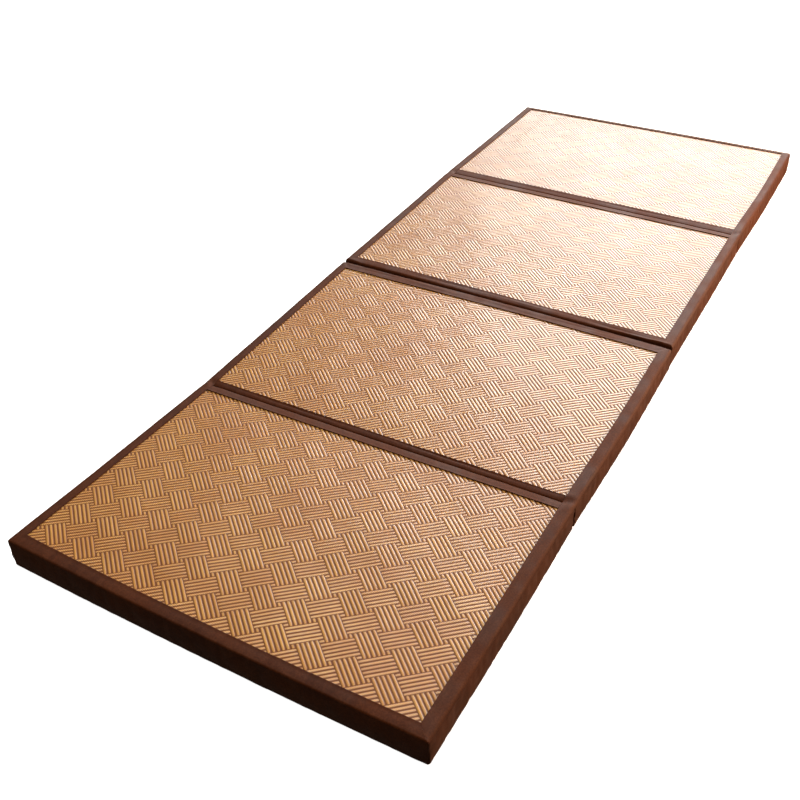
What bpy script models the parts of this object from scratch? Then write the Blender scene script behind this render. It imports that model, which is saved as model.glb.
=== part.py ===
"""Folding bamboo floor mat, lying open.

Four padded panels lie end to end, each a cloth-covered pad with a woven bamboo face in a brown
cloth border. Panels 1 and 2, and panels 3 and 4, hinge at their top edges, where the side borders
run on over both. Panels 2 and 3 hinge at the floor on a strip of the cover cloth. The mat is built
in metres with X across its width, Y along its length and Z up, and its origin is on the floor
under its middle.
"""

from collections import namedtuple

import bmesh
import bpy
from mathutils import Vector

MM = 0.001

# Overall size of the open mat
WIDTH = 680 * MM
LENGTH = 1805 * MM
THICKNESS = 46 * MM

# Clearance between neighbouring pieces, and the cloth and weave thicknesses
GAP = 0.3 * MM
SEAT_GAP = 0.45 * MM
MITRE_GAP = 0.22 * MM
FACE_THICKNESS = 1.6 * MM
BORDER_THICKNESS = 2.0 * MM
HINGE_THICKNESS = 1.0 * MM
BORDER_PROUD = 0.4 * MM

# Border widths down the two sides, and the length of a rounded corner in plan
LEFT_BAND = 19 * MM
RIGHT_BAND = 21 * MM
CORNER = 10 * MM
CORNER_CUT = 1.2 * MM
CORNER_EASE = 0.6 * MM
SLANT = 4 * MM

# Softness of the pads
FACE_CROWN = 2.5 * MM
WALL_BULGE = 0.9 * MM
SIDE_DIP_SHARE = 0.45

# Grid of each pad: columns and rows under its woven face
FACE_COLUMNS = 10
FACE_ROWS = 6

# The five lines across the mat, front to back. The bands are the border widths before and after
# the line, and the rises lift the top at the left and right ends.
Line = namedtuple("Line", "name at before after left_rise right_rise")
LINES = (
    Line("front", 0 * MM, 0 * MM, 19 * MM, 5.0 * MM, 1.5 * MM),
    Line("seam_12", 447 * MM, 17.5 * MM, 12.5 * MM, -6.0 * MM, 1.0 * MM),
    Line("seam_23", 900 * MM, 24.5 * MM, 20.5 * MM, 1.0 * MM, -1.5 * MM),
    Line("seam_34", 1355 * MM, 19 * MM, 20 * MM, 3.0 * MM, -1.5 * MM),
    Line("back", 1805 * MM, 15 * MM, 0 * MM, -1.5 * MM, 1.0 * MM),
)

# How far the left and right sides are drawn in, at places along the mat from its front. A value
# below zero swells out.
Side = namedtuple("Side", "along left right")
SIDES = (
    Side(0 * MM, -1.8 * MM, 0.8 * MM),
    Side(223 * MM, 1.2 * MM, -0.4 * MM),
    Side(447 * MM, 2.5 * MM, 0.3 * MM),
    Side(673 * MM, 2.5 * MM, -2.6 * MM),
    Side(897 * MM, 2.2 * MM, -0.5 * MM),
    Side(903 * MM, 1.9 * MM, 1.0 * MM),
    Side(1127 * MM, 1.4 * MM, 1.5 * MM),
    Side(1355 * MM, 0.0 * MM, 3.0 * MM),
    Side(1580 * MM, 0.8 * MM, 0.2 * MM),
    Side(1805 * MM, 0.8 * MM, 2.0 * MM),
)

# How far each line wanders along the mat at its left end, middle and right end
Wander = namedtuple("Wander", "left middle right")
WANDERS = {
    "front": Wander(3.5 * MM, 0.0 * MM, 3.5 * MM),
    "seam_12": Wander(-1.0 * MM, 0.0 * MM, 2.0 * MM),
    "seam_23": Wander(-1.0 * MM, 2.0 * MM, 1.0 * MM),
    "seam_34": Wander(0.0 * MM, 0.0 * MM, 0.0 * MM),
    "back": Wander(0.0 * MM, -0.5 * MM, -4.0 * MM),
}
# How much wider the front border is at its left end, middle and right end
FRONT_WIDENING = Wander(3.0 * MM, 0.0 * MM, 0.5 * MM)

# The open gap of the middle seam: half its width at the top, from left to right
GapStation = namedtuple("GapStation", "across half_gap")
MIDDLE_GAP = (
    GapStation(-340 * MM, 3.0 * MM),
    GapStation(-200 * MM, 3.6 * MM),
    GapStation(-60 * MM, 1.8 * MM),
    GapStation(90 * MM, 1.4 * MM),
    GapStation(210 * MM, 2.6 * MM),
    GapStation(340 * MM, 3.2 * MM),
)
CLOSED_GAP = 0.6 * MM

# Edge forms of a pad: the radius the cloth turns over at the top, how far the top dips to the
# line, how far the wall's foot stands back, and the radius of the foot
Edge = namedtuple("Edge", "roll dip foot_back foot_round")
EDGES = {
    "front": Edge(3.0 * MM, 0.0 * MM, 0.0 * MM, 3.0 * MM),
    "back": Edge(4.0 * MM, 0.0 * MM, 0.5 * MM, 3.0 * MM),
    "left": Edge(5.0 * MM, 0.0 * MM, 0.5 * MM, 3.0 * MM),
    "right": Edge(6.0 * MM, 0.0 * MM, 0.0 * MM, 3.0 * MM),
    "top_hinge": Edge(3.0 * MM, 4.0 * MM, 2.0 * MM, 3.0 * MM),
    "floor_hinge": Edge(7.0 * MM, 0.0 * MM, 0.0 * MM, 0.0 * MM),
}
LINE_EDGES = {
    "front": "front",
    "seam_12": "top_hinge",
    "seam_23": "floor_hinge",
    "seam_34": "top_hinge",
    "back": "back",
}

# One row of a pad's wall: how far it lies in from the edge, and its height as a share of the
# border's top there plus a lift
WallRow = namedtuple("WallRow", "inset top_share lift")

# The shallow recess under the middle seam that holds the hinge strip
RECESS_REACH = 12 * MM
RECESS_HEIGHT = 1.6 * MM
RECESS_SLOPE = 0.8 * MM
HINGE_REACH = 10.5 * MM

# Colours as linear red, green and blue, with roughness
Finish = namedtuple("Finish", "colour roughness")
FINISHES = {
    "brown_cloth": Finish((0.075, 0.028, 0.018), 0.75),
    "woven_bamboo": Finish((0.56, 0.34, 0.15), 0.45),
}

PAD_ROWS = 7
SEAT_ROW = 4
ARC_SHARE = 0.29289


def mix(a, b, share):
    return a + (b - a) * share


def between(value, low, high):
    """Where a value lies between two others, from 0 to 1."""
    return min(1.0, max(0.0, (value - low) / (high - low)))


def material(name):
    made = bpy.data.materials.get(name)
    if made is None:
        finish = FINISHES[name]
        made = bpy.data.materials.new(name)
        made.use_nodes = True
        shader = made.node_tree.nodes["Principled BSDF"]
        shader.inputs["Base Color"].default_value = (*finish.colour, 1.0)
        shader.inputs["Roughness"].default_value = finish.roughness
        made.diffuse_color = (*finish.colour, 1.0)
    return made


def by_length(y, field):
    """A value of the LINES table, read between the lines at a place along the mat."""
    station = y + LENGTH / 2
    for first, second in zip(LINES, LINES[1:]):
        if station <= second.at:
            break
    share = between(station, first.at, second.at)
    return mix(getattr(first, field), getattr(second, field), share)


def drawn_in(y, field):
    """How far a side is drawn in at a place along the mat, on a soft curve through SIDES."""
    station = y + LENGTH / 2
    for first, second in zip(SIDES, SIDES[1:]):
        if station <= second.along:
            break
    share = between(station, first.along, second.along)
    eased = share * share * (3 - 2 * share)
    return mix(getattr(first, field), getattr(second, field), eased)


def left_side(y):
    return -WIDTH / 2 + drawn_in(y, "left")


def right_side(y):
    return WIDTH / 2 - drawn_in(y, "right")


def curve(values, x):
    """A smooth curve across the mat through values at its left end, middle and right end."""
    u = 2 * x / WIDTH
    bend = (values.left + values.right) / 2 - values.middle
    slope = (values.right - values.left) / 2
    return values.middle + slope * u + bend * u * u


def line_y(line, x):
    """The line's place along the mat."""
    return line.at - LENGTH / 2 + curve(WANDERS[line.name], x)


def border_width(line, x, is_after):
    """Width of the border on one side of a line."""
    if not is_after:
        return line.before
    return line.after + (curve(FRONT_WIDENING, x) if line.name == "front" else 0.0)


def half_gap(line, x):
    """Half the gap at the top between the two pads that meet at a line."""
    if line.name in ("front", "back"):
        return 0.0
    if line.name != "seam_23":
        return CLOSED_GAP
    for first, second in zip(MIDDLE_GAP, MIDDLE_GAP[1:]):
        if x <= second.across:
            break
    return mix(first.half_gap, second.half_gap, between(x, first.across, second.across))


def top_height(x, y):
    """Height of the woven face's rim over the floor, with the mat's own unevenness."""
    across = between(x, -WIDTH / 2, WIDTH / 2)
    return THICKNESS + mix(by_length(y, "left_rise"), by_length(y, "right_rise"), across)


def crease_dip(x, y):
    """How far the border sinks towards a seam that hinges at the top."""
    side_in = min(x - left_side(y), right_side(y) - x)
    share = mix(SIDE_DIP_SHARE, 1.0, between(side_in, 0.0, LEFT_BAND))
    for line in LINES:
        dip = EDGES[LINE_EDGES[line.name]].dip
        distance = y - line_y(line, x)
        band = line.after if distance > 0 else line.before
        if dip and abs(distance) < band:
            return dip * share * (1 - abs(distance) / band)
    return 0.0


def border_top(x, y):
    return top_height(x, y) + BORDER_PROUD - crease_dip(x, y)


class Panel:
    """One pad with its rectangle between two lines of the mat."""

    def __init__(self, number):
        self.number = number
        self.near = LINES[number - 1]
        self.far = LINES[number]

    def near_y(self, x):
        return line_y(self.near, x) + half_gap(self.near, x)

    def far_y(self, x):
        return line_y(self.far, x) - half_gap(self.far, x)

    def field_near(self, x):
        return line_y(self.near, x) + border_width(self.near, x, True)

    def field_far(self, x):
        return line_y(self.far, x) - border_width(self.far, x, False)

    def field_point(self, i, j, inset=0.0):
        """A grid point under the woven face, i across and j along."""
        middle = (self.near.at + self.far.at) / 2 - LENGTH / 2
        share_x = i / FACE_COLUMNS
        y = middle
        for _ in range(3):
            x = mix(left_side(y) + LEFT_BAND + inset, right_side(y) - RIGHT_BAND - inset, share_x)
            y = mix(self.field_near(x) + inset, self.field_far(x) - inset, j / FACE_ROWS)
        return x, y

    def crown(self, i, j):
        u = 2 * i / FACE_COLUMNS - 1
        v = 2 * j / FACE_ROWS - 1
        return FACE_CROWN * (1 - u * u) * (1 - v * v)


def pad_seat(x, y, crown=0.0):
    """Top of a pad, under the border or the woven face."""
    return border_top(x, y) - BORDER_THICKNESS - SEAT_GAP + crown


def shaped_box(name, cells, place, material_name, collection):
    """A cube cut into cells, with each of its points moved to its place."""
    bm = bmesh.new()
    bmesh.ops.create_cube(bm, size=1.0)
    for axis, count in enumerate(cells):
        along = [edge for edge in bm.edges if is_along(edge, axis)]
        if count > 1:
            bmesh.ops.subdivide_edges(bm, edges=along, cuts=count - 1, use_grid_fill=True)
    indices = {}
    for vert in bm.verts:
        indices[vert] = tuple(round((vert.co[axis] + 0.5) * cells[axis]) for axis in range(3))
    for face in list(bm.faces):
        first = min(face.verts, key=lambda vert: sum(indices[vert]))
        last = max(face.verts, key=lambda vert: sum(indices[vert]))
        bmesh.utils.face_split(face, first, last)
    for vert, index in indices.items():
        vert.co = Vector(place(*index))
    mesh = bpy.data.meshes.new(name)
    bm.to_mesh(mesh)
    bm.free()
    mesh.materials.append(material(material_name))
    mesh.shade_smooth()
    mesh.set_sharp_from_angle(angle=0.7)
    made = bpy.data.objects.new(name, mesh)
    collection.objects.link(made)
    return made


def is_along(edge, axis):
    step = edge.verts[1].co - edge.verts[0].co
    return abs(step[axis]) > 0.5 * step.length


def line_edge(line):
    return EDGES[LINE_EDGES[line.name]]


def is_mitred(line):
    """The borders meet in a mitre at every line but the seams that hinge at the top."""
    return LINE_EDGES[line.name] != "top_hinge"


def at_corner(edge, other):
    """The form that an edge takes where it meets another one in a mitre."""
    return edge._replace(roll=(edge.roll + other.roll) / 2)


def slant(share, other_band):
    """How far a strip's first section from a mitre leans along the strip, towards the face."""
    return share * (SLANT + other_band - CORNER)


def wall_rows(edge):
    """Rows of a pad's wall, from the floor up to the pad's rim."""
    inner = edge.roll - BORDER_THICKNESS - SEAT_GAP
    ledge = -edge.roll - SEAT_GAP
    back = edge.foot_back
    return [
        WallRow(back + edge.foot_round, 0.0, 0.0),
        WallRow(back + edge.foot_round * ARC_SHARE, 0.0, edge.foot_round * ARC_SHARE),
        WallRow(back * 0.85, 0.0, edge.foot_round),
        WallRow(back * 0.4 - WALL_BULGE, 0.45, 0.0),
        WallRow(0.0, 1.0, ledge),
        WallRow(BORDER_THICKNESS + SEAT_GAP, 1.0, ledge),
        WallRow(edge.roll - inner * (1 - ARC_SHARE), 1.0, inner * (1 - ARC_SHARE) - edge.roll),
        WallRow(edge.roll, 1.0, -BORDER_THICKNESS - SEAT_GAP),
    ]


def line_wall_rows(line, x, edge):
    """The rows at a line. The middle seam's foot is recessed for the hinge strip."""
    rows = wall_rows(edge)
    if line.name == "seam_23":
        lean = CLOSED_GAP - half_gap(line, x)
        rows[0] = WallRow(lean + RECESS_REACH, 0.0, 0.0)
        rows[1] = WallRow(lean + RECESS_REACH - RECESS_SLOPE, 0.0, RECESS_HEIGHT)
        rows[2] = WallRow(lean, 0.0, RECESS_HEIGHT + RECESS_SLOPE)
        rows[3] = WallRow(lean * 0.5 - RECESS_SLOPE * 0.4, 0.45, 0.0)
    return rows


def pad_lines(panel, i, j):
    """Plan place of a pad's grid point, before its edges are rounded and drawn in."""
    columns = FACE_COLUMNS + 4
    rows = FACE_ROWS + 4
    inner_i = min(max(i - 2, 0), FACE_COLUMNS)
    inner_j = min(max(j - 2, 0), FACE_ROWS)
    x, y = panel.field_point(inner_i, inner_j)
    if i == 1:
        x = left_side(y) + CORNER
    if i == columns - 1:
        x = right_side(y) - CORNER
    if i == 0:
        x = left_side(y)
    if i == columns:
        x = right_side(y)
    if j == 1:
        y = panel.near_y(x) + CORNER
    if j == rows - 1:
        y = panel.far_y(x) - CORNER
    if j == 0:
        y = panel.near_y(x)
    if j == rows:
        y = panel.far_y(x)
    return x, y


def make_pad(panel, collection):
    """The filled pad in its brown cloth: walls, underside and the seat of the border and face."""
    columns = FACE_COLUMNS + 4
    rows = FACE_ROWS + 4

    def place(i, j, k):
        x, y = pad_lines(panel, i, j)
        is_left, is_near = i < columns / 2, j < rows / 2
        side = EDGES["left" if is_left else "right"]
        side_band = LEFT_BAND if is_left else RIGHT_BAND
        line = panel.near if is_near else panel.far
        band = border_width(line, x, is_near) - half_gap(line, x)
        edge = line_edge(line)
        rightward = 1 if is_left else -1
        backward = 1 if is_near else -1
        on_side, on_line = i in (0, columns), j in (0, rows)
        in_seat = k >= SEAT_ROW
        cut = 0.0
        if on_side and on_line and is_mitred(line):
            side, edge = at_corner(side, edge), at_corner(edge, side)
            cut = CORNER_CUT + (CORNER_EASE if k > SEAT_ROW else 0.0)
        side_row = wall_rows(side)[k]
        line_row = line_wall_rows(line, x, edge)[k]
        if on_side:
            x += rightward * (side_row.inset + cut)
            if j in (1, rows - 1) and in_seat and is_mitred(line):
                y += backward * slant(side_row.inset / side_band, band)
        if on_line:
            y += backward * (line_row.inset + cut)
            if i in (1, columns - 1) and in_seat and is_mitred(line):
                x += rightward * slant(line_row.inset / band, side_band)
        if on_side or on_line:
            under_side_border = i <= 1 or i >= columns - 1
            at_line = on_line and (is_mitred(line) or not under_side_border)
            row = line_row if at_line else side_row
            return x, y, row.top_share * border_top(x, y) + row.lift
        if k == 0:
            return x, y, 0.0
        crown = panel.crown(i - 2, j - 2) if on_face(i, j) else 0.0
        return x, y, pad_seat(x, y, crown)

    def on_face(i, j):
        return 2 <= i <= columns - 2 and 2 <= j <= rows - 2

    name = f"pad_{panel.number}"
    return shaped_box(name, (columns, rows, PAD_ROWS), place, "brown_cloth", collection)


def make_face(panel, collection):
    """The woven bamboo sheet that lies in the border."""

    def place(i, j, k):
        x, y = panel.field_point(i, j, GAP)
        z = pad_seat(x, y, panel.crown(i, j)) + GAP + k * FACE_THICKNESS
        return x, y, z

    name = f"face_{panel.number}"
    return shaped_box(name, (FACE_COLUMNS, FACE_ROWS, 1), place, "woven_bamboo", collection)


def border_profile(edge, band, j, k):
    """Inset and drop of a border strip's section, from its sewn edge on the wall inwards."""
    depth = 0.0 if k else BORDER_THICKNESS
    radius = edge.roll - depth
    sections = (
        (depth, edge.roll),
        (edge.roll - radius * (1 - ARC_SHARE), edge.roll - radius * (1 - ARC_SHARE)),
        (edge.roll, depth),
        (CORNER, depth),
        (band, depth),
    )
    return sections[j]


def mitre_point(panel, at_far, on_right, share):
    """A point of the mitre between two borders, from the pad's outer corner to the face's."""
    inner_x, inner_y = panel.field_point(FACE_COLUMNS if on_right else 0, FACE_ROWS if at_far else 0)
    outer_x = right_side(inner_y) - CORNER_CUT if on_right else left_side(inner_y) + CORNER_CUT
    outer_y = panel.far_y(outer_x) - CORNER_CUT if at_far else panel.near_y(outer_x) + CORNER_CUT
    return mix(outer_x, inner_x, share), mix(outer_y, inner_y, share)


def make_cross_border(panel, at_far, collection):
    """A border strip across the panel, mitred at an outer corner and square at a top hinge."""
    line = panel.far if at_far else panel.near
    edge = line_edge(line)
    edge_y = panel.far_y if at_far else panel.near_y
    inward = -1 if at_far else 1
    mitred = is_mitred(line)
    cells = FACE_COLUMNS + (2 if mitred else 0)

    def place(i, j, k):
        if at_far:
            j = 4 - j
        column = min(max(i - 1, 0), FACE_COLUMNS) if mitred else i
        x, y = panel.field_point(column, FACE_ROWS if at_far else 0)
        own_band = border_width(line, x, not at_far) - half_gap(line, x)
        ends_at_mitre = mitred and i in (0, cells)
        side = EDGES["left" if i == 0 else "right"]
        form = at_corner(edge, side) if ends_at_mitre else edge
        inset, drop = border_profile(form, own_band, j, k)
        share = inset / own_band
        into = 1 if i < cells / 2 else -1
        if ends_at_mitre:
            x, y = mitre_point(panel, at_far, i > 0, share)
            return x + into * MITRE_GAP, y, border_top(x, y) - drop
        if mitred and i in (1, cells - 1):
            side_band = LEFT_BAND if into > 0 else RIGHT_BAND
            x += into * (CORNER + slant(share, side_band) - side_band)
        elif i in (0, cells):
            x += into * GAP
        if j == 4:
            inset = border_width(line, x, not at_far) - half_gap(line, x)
        y = edge_y(x) + inward * inset
        return x, y, border_top(x, y) - drop

    where = "back" if at_far else "front"
    name = f"border_{where}_{panel.number}"
    return shaped_box(name, (cells, 4, 1), place, "brown_cloth", collection)


def side_stations(pair, column):
    """Stations of a side border along two panels that hinge at the top."""
    near, far = pair
    x = near.field_point(column, FACE_ROWS)[0]
    seam = line_y(near.far, x)
    stations = [near.field_point(column, j)[1] for j in range(1, FACE_ROWS + 1)]
    stations += [near.far_y(x) - CORNER, seam, far.near_y(x) + CORNER]
    stations += [far.field_point(column, j)[1] for j in range(0, FACE_ROWS)]
    return stations


def make_side_border(pair, on_right, collection):
    """A border strip down one side of two panels, over the hinge between them."""
    near, far = pair
    edge = EDGES["right" if on_right else "left"]
    band = RIGHT_BAND if on_right else LEFT_BAND
    side_x = right_side if on_right else left_side
    inward = -1 if on_right else 1
    x_end = side_x(0.0)
    stations = side_stations(pair, FACE_COLUMNS if on_right else 0)
    cells = len(stations) + 3

    def place(i, j, k):
        if on_right:
            i = 4 - i
        form = edge
        if j in (0, cells):
            form = at_corner(edge, line_edge(near.near if j == 0 else far.far))
        inset, drop = border_profile(form, band, i, k)
        if j == 0:
            x, y = mitre_point(near, False, on_right, inset / band)
            y += MITRE_GAP
        elif j == cells:
            x, y = mitre_point(far, True, on_right, inset / band)
            y -= MITRE_GAP
        else:
            if j == 1:
                front_band = border_width(near.near, x_end, True)
                y = near.near_y(x_end) + CORNER + slant(inset / band, front_band)
            elif j == cells - 1:
                y = far.far_y(x_end) - CORNER - slant(inset / band, far.far.before)
            else:
                y = stations[j - 2]
            x = side_x(y) + inward * inset
        return x, y, border_top(x, y) - drop

    where = "right" if on_right else "left"
    name = f"border_{where}_{near.number}{far.number}"
    return shaped_box(name, (4, cells, 1), place, "brown_cloth", collection)


def make_hinge_strip(panel, collection):
    """The strip of cover cloth on the floor that joins the two middle panels."""
    line = panel.far
    reaches = (-HINGE_REACH, 0.0, HINGE_REACH)

    def place(i, j, k):
        x, _ = panel.field_point(i, FACE_ROWS)
        if i == 0:
            x = -WIDTH / 2 + LEFT_BAND
        if i == FACE_COLUMNS:
            x = WIDTH / 2 - RIGHT_BAND
        return x, line_y(line, x) + reaches[j], k * HINGE_THICKNESS

    return shaped_box("hinge_strip_23", (FACE_COLUMNS, 2, 1), place, "brown_cloth", collection)


def clear_scene():
    for found in list(bpy.data.objects):
        bpy.data.objects.remove(found, do_unlink=True)


def main():
    clear_scene()
    collection = bpy.data.collections.new("folding_bamboo_mat")
    bpy.context.scene.collection.children.link(collection)
    panels = [Panel(number) for number in (1, 2, 3, 4)]
    for panel in panels:
        make_pad(panel, collection)
        make_face(panel, collection)
        make_cross_border(panel, False, collection)
        make_cross_border(panel, True, collection)
    for pair in ((panels[0], panels[1]), (panels[2], panels[3])):
        make_side_border(pair, False, collection)
        make_side_border(pair, True, collection)
    make_hinge_strip(panels[1], collection)


main()
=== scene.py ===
"""Folding bamboo floor mat: cloth, weave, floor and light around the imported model.

Four soft pads lie end to end. Each carries a sheet woven of twisted bamboo cords, and brown cloth
borders are sewn over its edges. The file is laid out as an add-on and is run as a script. Units
are metres, X runs across the mat, Y along it and Z up from the floor.
"""

import math
from collections import namedtuple

import bpy
import numpy as np
from bpy.props import FloatProperty, FloatVectorProperty, IntProperty, PointerProperty
from mathutils import Matrix, Vector


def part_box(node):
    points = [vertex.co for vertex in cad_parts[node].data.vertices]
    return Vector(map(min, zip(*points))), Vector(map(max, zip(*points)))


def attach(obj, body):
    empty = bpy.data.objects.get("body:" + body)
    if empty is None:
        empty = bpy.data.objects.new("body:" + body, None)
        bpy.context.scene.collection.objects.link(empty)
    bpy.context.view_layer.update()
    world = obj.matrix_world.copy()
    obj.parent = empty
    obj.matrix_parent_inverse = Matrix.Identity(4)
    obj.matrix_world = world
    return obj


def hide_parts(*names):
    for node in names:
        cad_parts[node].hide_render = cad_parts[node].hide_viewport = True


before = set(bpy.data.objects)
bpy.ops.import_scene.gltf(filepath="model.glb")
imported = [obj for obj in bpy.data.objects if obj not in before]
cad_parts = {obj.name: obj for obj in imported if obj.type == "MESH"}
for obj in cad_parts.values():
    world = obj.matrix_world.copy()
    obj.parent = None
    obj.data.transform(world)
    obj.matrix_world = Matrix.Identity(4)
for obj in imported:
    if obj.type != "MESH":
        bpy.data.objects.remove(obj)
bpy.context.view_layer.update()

bl_info = {
    "name": "Folding bamboo mat",
    "version": (1, 0, 0),
    "blender": (4, 5, 0),
    "location": "View3D > Sidebar > Mat",
    "description": "Builds a folding floor mat with woven bamboo faces in brown cloth borders",
    "category": "Object",
}

MM = 0.001
BODY = "root"

# Overall size of the open mat
WIDTH = 680 * MM
LENGTH = 1805 * MM
THICKNESS = 46 * MM

# Widths of the cloth borders down the two sides
LEFT_BAND = 19 * MM
RIGHT_BAND = 21 * MM

# How the pieces stack: how far a border stands over the woven face's rim, its thickness, the gap
# under it, and how far a woven face rises to its middle
BORDER_PROUD = 0.4 * MM
BORDER_THICKNESS = 2.0 * MM
SEAT_GAP = 0.45 * MM
FACE_CROWN = 2.5 * MM

# The share of a top seam's dip that is left at the mat's sides
SIDE_DIP_SHARE = 0.45
# How far from a widened border its extra width fades out
WIDENING_FADE = 150 * MM
# Radii of a panel's corners: at most lines, and at a top seam
CORNER_RADIUS = 3.5 * MM
HINGE_CORNER_RADIUS = 2.2 * MM

# The five lines across the mat, front to back. The bands are the border widths before and after
# the line, and the rises lift the top at the left and right ends.
Line = namedtuple("Line", "name at before after left_rise right_rise")
LINES = (
    Line("front", 0 * MM, 0 * MM, 19 * MM, 5.0 * MM, 1.5 * MM),
    Line("seam_12", 447 * MM, 17.5 * MM, 12.5 * MM, -6.0 * MM, 1.0 * MM),
    Line("seam_23", 900 * MM, 24.5 * MM, 20.5 * MM, 1.0 * MM, -1.5 * MM),
    Line("seam_34", 1355 * MM, 19 * MM, 20 * MM, 3.0 * MM, -1.5 * MM),
    Line("back", 1805 * MM, 15 * MM, 0 * MM, -1.5 * MM, 1.0 * MM),
)

# How far the left and right sides are drawn in, at places along the mat from its front, where a
# value below zero swells out, and how much of the right border's width the woven face takes
Side = namedtuple("Side", "along left right taken")
SIDES = (
    Side(0 * MM, -1.8 * MM, 0.8 * MM, 0.5 * MM),
    Side(223 * MM, 1.2 * MM, -0.4 * MM, 0.8 * MM),
    Side(447 * MM, 2.5 * MM, 0.3 * MM, 1.5 * MM),
    Side(673 * MM, 2.5 * MM, -2.6 * MM, 1.6 * MM),
    Side(897 * MM, 2.2 * MM, -0.5 * MM, 1.5 * MM),
    Side(903 * MM, 1.9 * MM, 1.0 * MM, 1.5 * MM),
    Side(1127 * MM, 1.4 * MM, 1.5 * MM, 1.9 * MM),
    Side(1355 * MM, 0.0 * MM, 3.0 * MM, 3.0 * MM),
    Side(1580 * MM, 0.8 * MM, 0.2 * MM, 4.5 * MM),
    Side(1805 * MM, 0.8 * MM, 2.0 * MM, 3.5 * MM),
)

# How far each line wanders along the mat at its left end, middle and right end
Wander = namedtuple("Wander", "left middle right")
WANDERS = {
    "front": Wander(3.5 * MM, 0.0 * MM, 3.5 * MM),
    "seam_12": Wander(-1.0 * MM, 0.0 * MM, 2.0 * MM),
    "seam_23": Wander(-1.0 * MM, 2.0 * MM, 1.0 * MM),
    "seam_34": Wander(0.0 * MM, 0.0 * MM, 0.0 * MM),
    "back": Wander(0.0 * MM, -0.5 * MM, -4.0 * MM),
}

# How much wider the front border is at its left end, middle and right end
FRONT_WIDENING = Wander(3.0 * MM, 0.0 * MM, 0.5 * MM)

# The open gap of the middle seam: half its width at the top, from left to right
GapStation = namedtuple("GapStation", "across half_gap")
MIDDLE_GAP = (
    GapStation(-340 * MM, 3.0 * MM),
    GapStation(-200 * MM, 3.6 * MM),
    GapStation(-60 * MM, 1.8 * MM),
    GapStation(90 * MM, 1.4 * MM),
    GapStation(210 * MM, 2.6 * MM),
    GapStation(340 * MM, 3.2 * MM),
)
# Half the gap of the two seams that hinge at the top
CLOSED_GAP = 0.15 * MM

# Edge forms of a pad: the radius the cloth turns over at the top, how far the top dips to the
# line, how far the wall's foot stands back, and the radius of the foot
Edge = namedtuple("Edge", "roll dip foot_back foot_round")
EDGES = {
    "front": Edge(3.0 * MM, 0.0 * MM, 0.0 * MM, 3.0 * MM),
    "back": Edge(4.0 * MM, 0.0 * MM, 0.5 * MM, 3.0 * MM),
    "left": Edge(5.0 * MM, 0.0 * MM, 0.5 * MM, 3.0 * MM),
    "right": Edge(6.0 * MM, 0.0 * MM, 0.0 * MM, 3.0 * MM),
    "top_hinge": Edge(3.0 * MM, 1.6 * MM, 2.0 * MM, 3.0 * MM),
    "floor_hinge": Edge(4.5 * MM, 0.0 * MM, 0.0 * MM, 0.0 * MM),
}
LINE_EDGES = {
    "front": "front",
    "seam_12": "top_hinge",
    "seam_23": "floor_hinge",
    "seam_34": "top_hinge",
    "back": "back",
}

# The recess under the middle seam, and the strip of cover cloth that lies in it
RECESS_REACH = 12 * MM
RECESS_HEIGHT = 1.6 * MM
RECESS_SLOPE = 0.8 * MM
HINGE_REACH = 10.5 * MM
HINGE_THICKNESS = 1.0 * MM


def mix(a, b, share):
    return a + (b - a) * share


def smooth(value, low, high):
    """A soft step from 0 to 1 between two values."""
    share = np.clip((value - low) / (high - low), 0.0, 1.0)
    return share * share * (3 - 2 * share)


def by_length(y, field):
    """A value of the LINES table, read between the lines at places along the mat."""
    stations = [line.at for line in LINES]
    return np.interp(y + LENGTH / 2, stations, [getattr(line, field) for line in LINES])


def drawn_in(y, field):
    """How far a side is drawn in at places along the mat, on a soft curve through SIDES."""
    values = np.array([getattr(side, field) for side in SIDES])
    place = np.interp(y + LENGTH / 2, [side.along for side in SIDES], np.arange(len(SIDES)))
    first = np.minimum(np.floor(place).astype(int), len(SIDES) - 2)
    return mix(values[first], values[first + 1], smooth(place - first, 0.0, 1.0))


def left_side(y):
    return -WIDTH / 2 + drawn_in(y, "left")


def right_side(y):
    return WIDTH / 2 - drawn_in(y, "right")


def curve(values, x):
    """A smooth curve across the mat through values at its left end, middle and right end."""
    u = 2 * x / WIDTH
    bend = (values.left + values.right) / 2 - values.middle
    slope = (values.right - values.left) / 2
    return values.middle + slope * u + bend * u * u


def line_y(line, x):
    """A line's place along the mat."""
    return line.at - LENGTH / 2 + curve(WANDERS[line.name], x)


def half_gap(line, x):
    """Half the gap at the top between the two pads that meet at a line."""
    if line.name in ("front", "back"):
        return 0.0 * x
    if line.name != "seam_23":
        return CLOSED_GAP + 0.0 * x
    across = [station.across for station in MIDDLE_GAP]
    return np.interp(x, across, [station.half_gap for station in MIDDLE_GAP])


def top_height(x, y):
    """Height of a woven face's rim over the floor, with the mat's own unevenness."""
    across = np.clip(x / WIDTH + 0.5, 0.0, 1.0)
    return THICKNESS + mix(by_length(y, "left_rise"), by_length(y, "right_rise"), across)


def crease_dip(x, y):
    """How far the border sinks towards a seam that hinges at the top."""
    side_in = np.minimum(x - left_side(y), right_side(y) - x)
    share = mix(SIDE_DIP_SHARE, 1.0, np.clip(side_in / LEFT_BAND, 0.0, 1.0))
    total = np.zeros_like(share)
    for line in LINES:
        dip = EDGES[LINE_EDGES[line.name]].dip
        if dip:
            distance = y - line_y(line, x)
            band = np.where(distance > 0, line.after, line.before)
            total += dip * share * np.clip(1 - np.abs(distance) / band, 0.0, 1.0)
    return total


def border_top(x, y):
    return top_height(x, y) + BORDER_PROUD - crease_dip(x, y)


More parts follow.
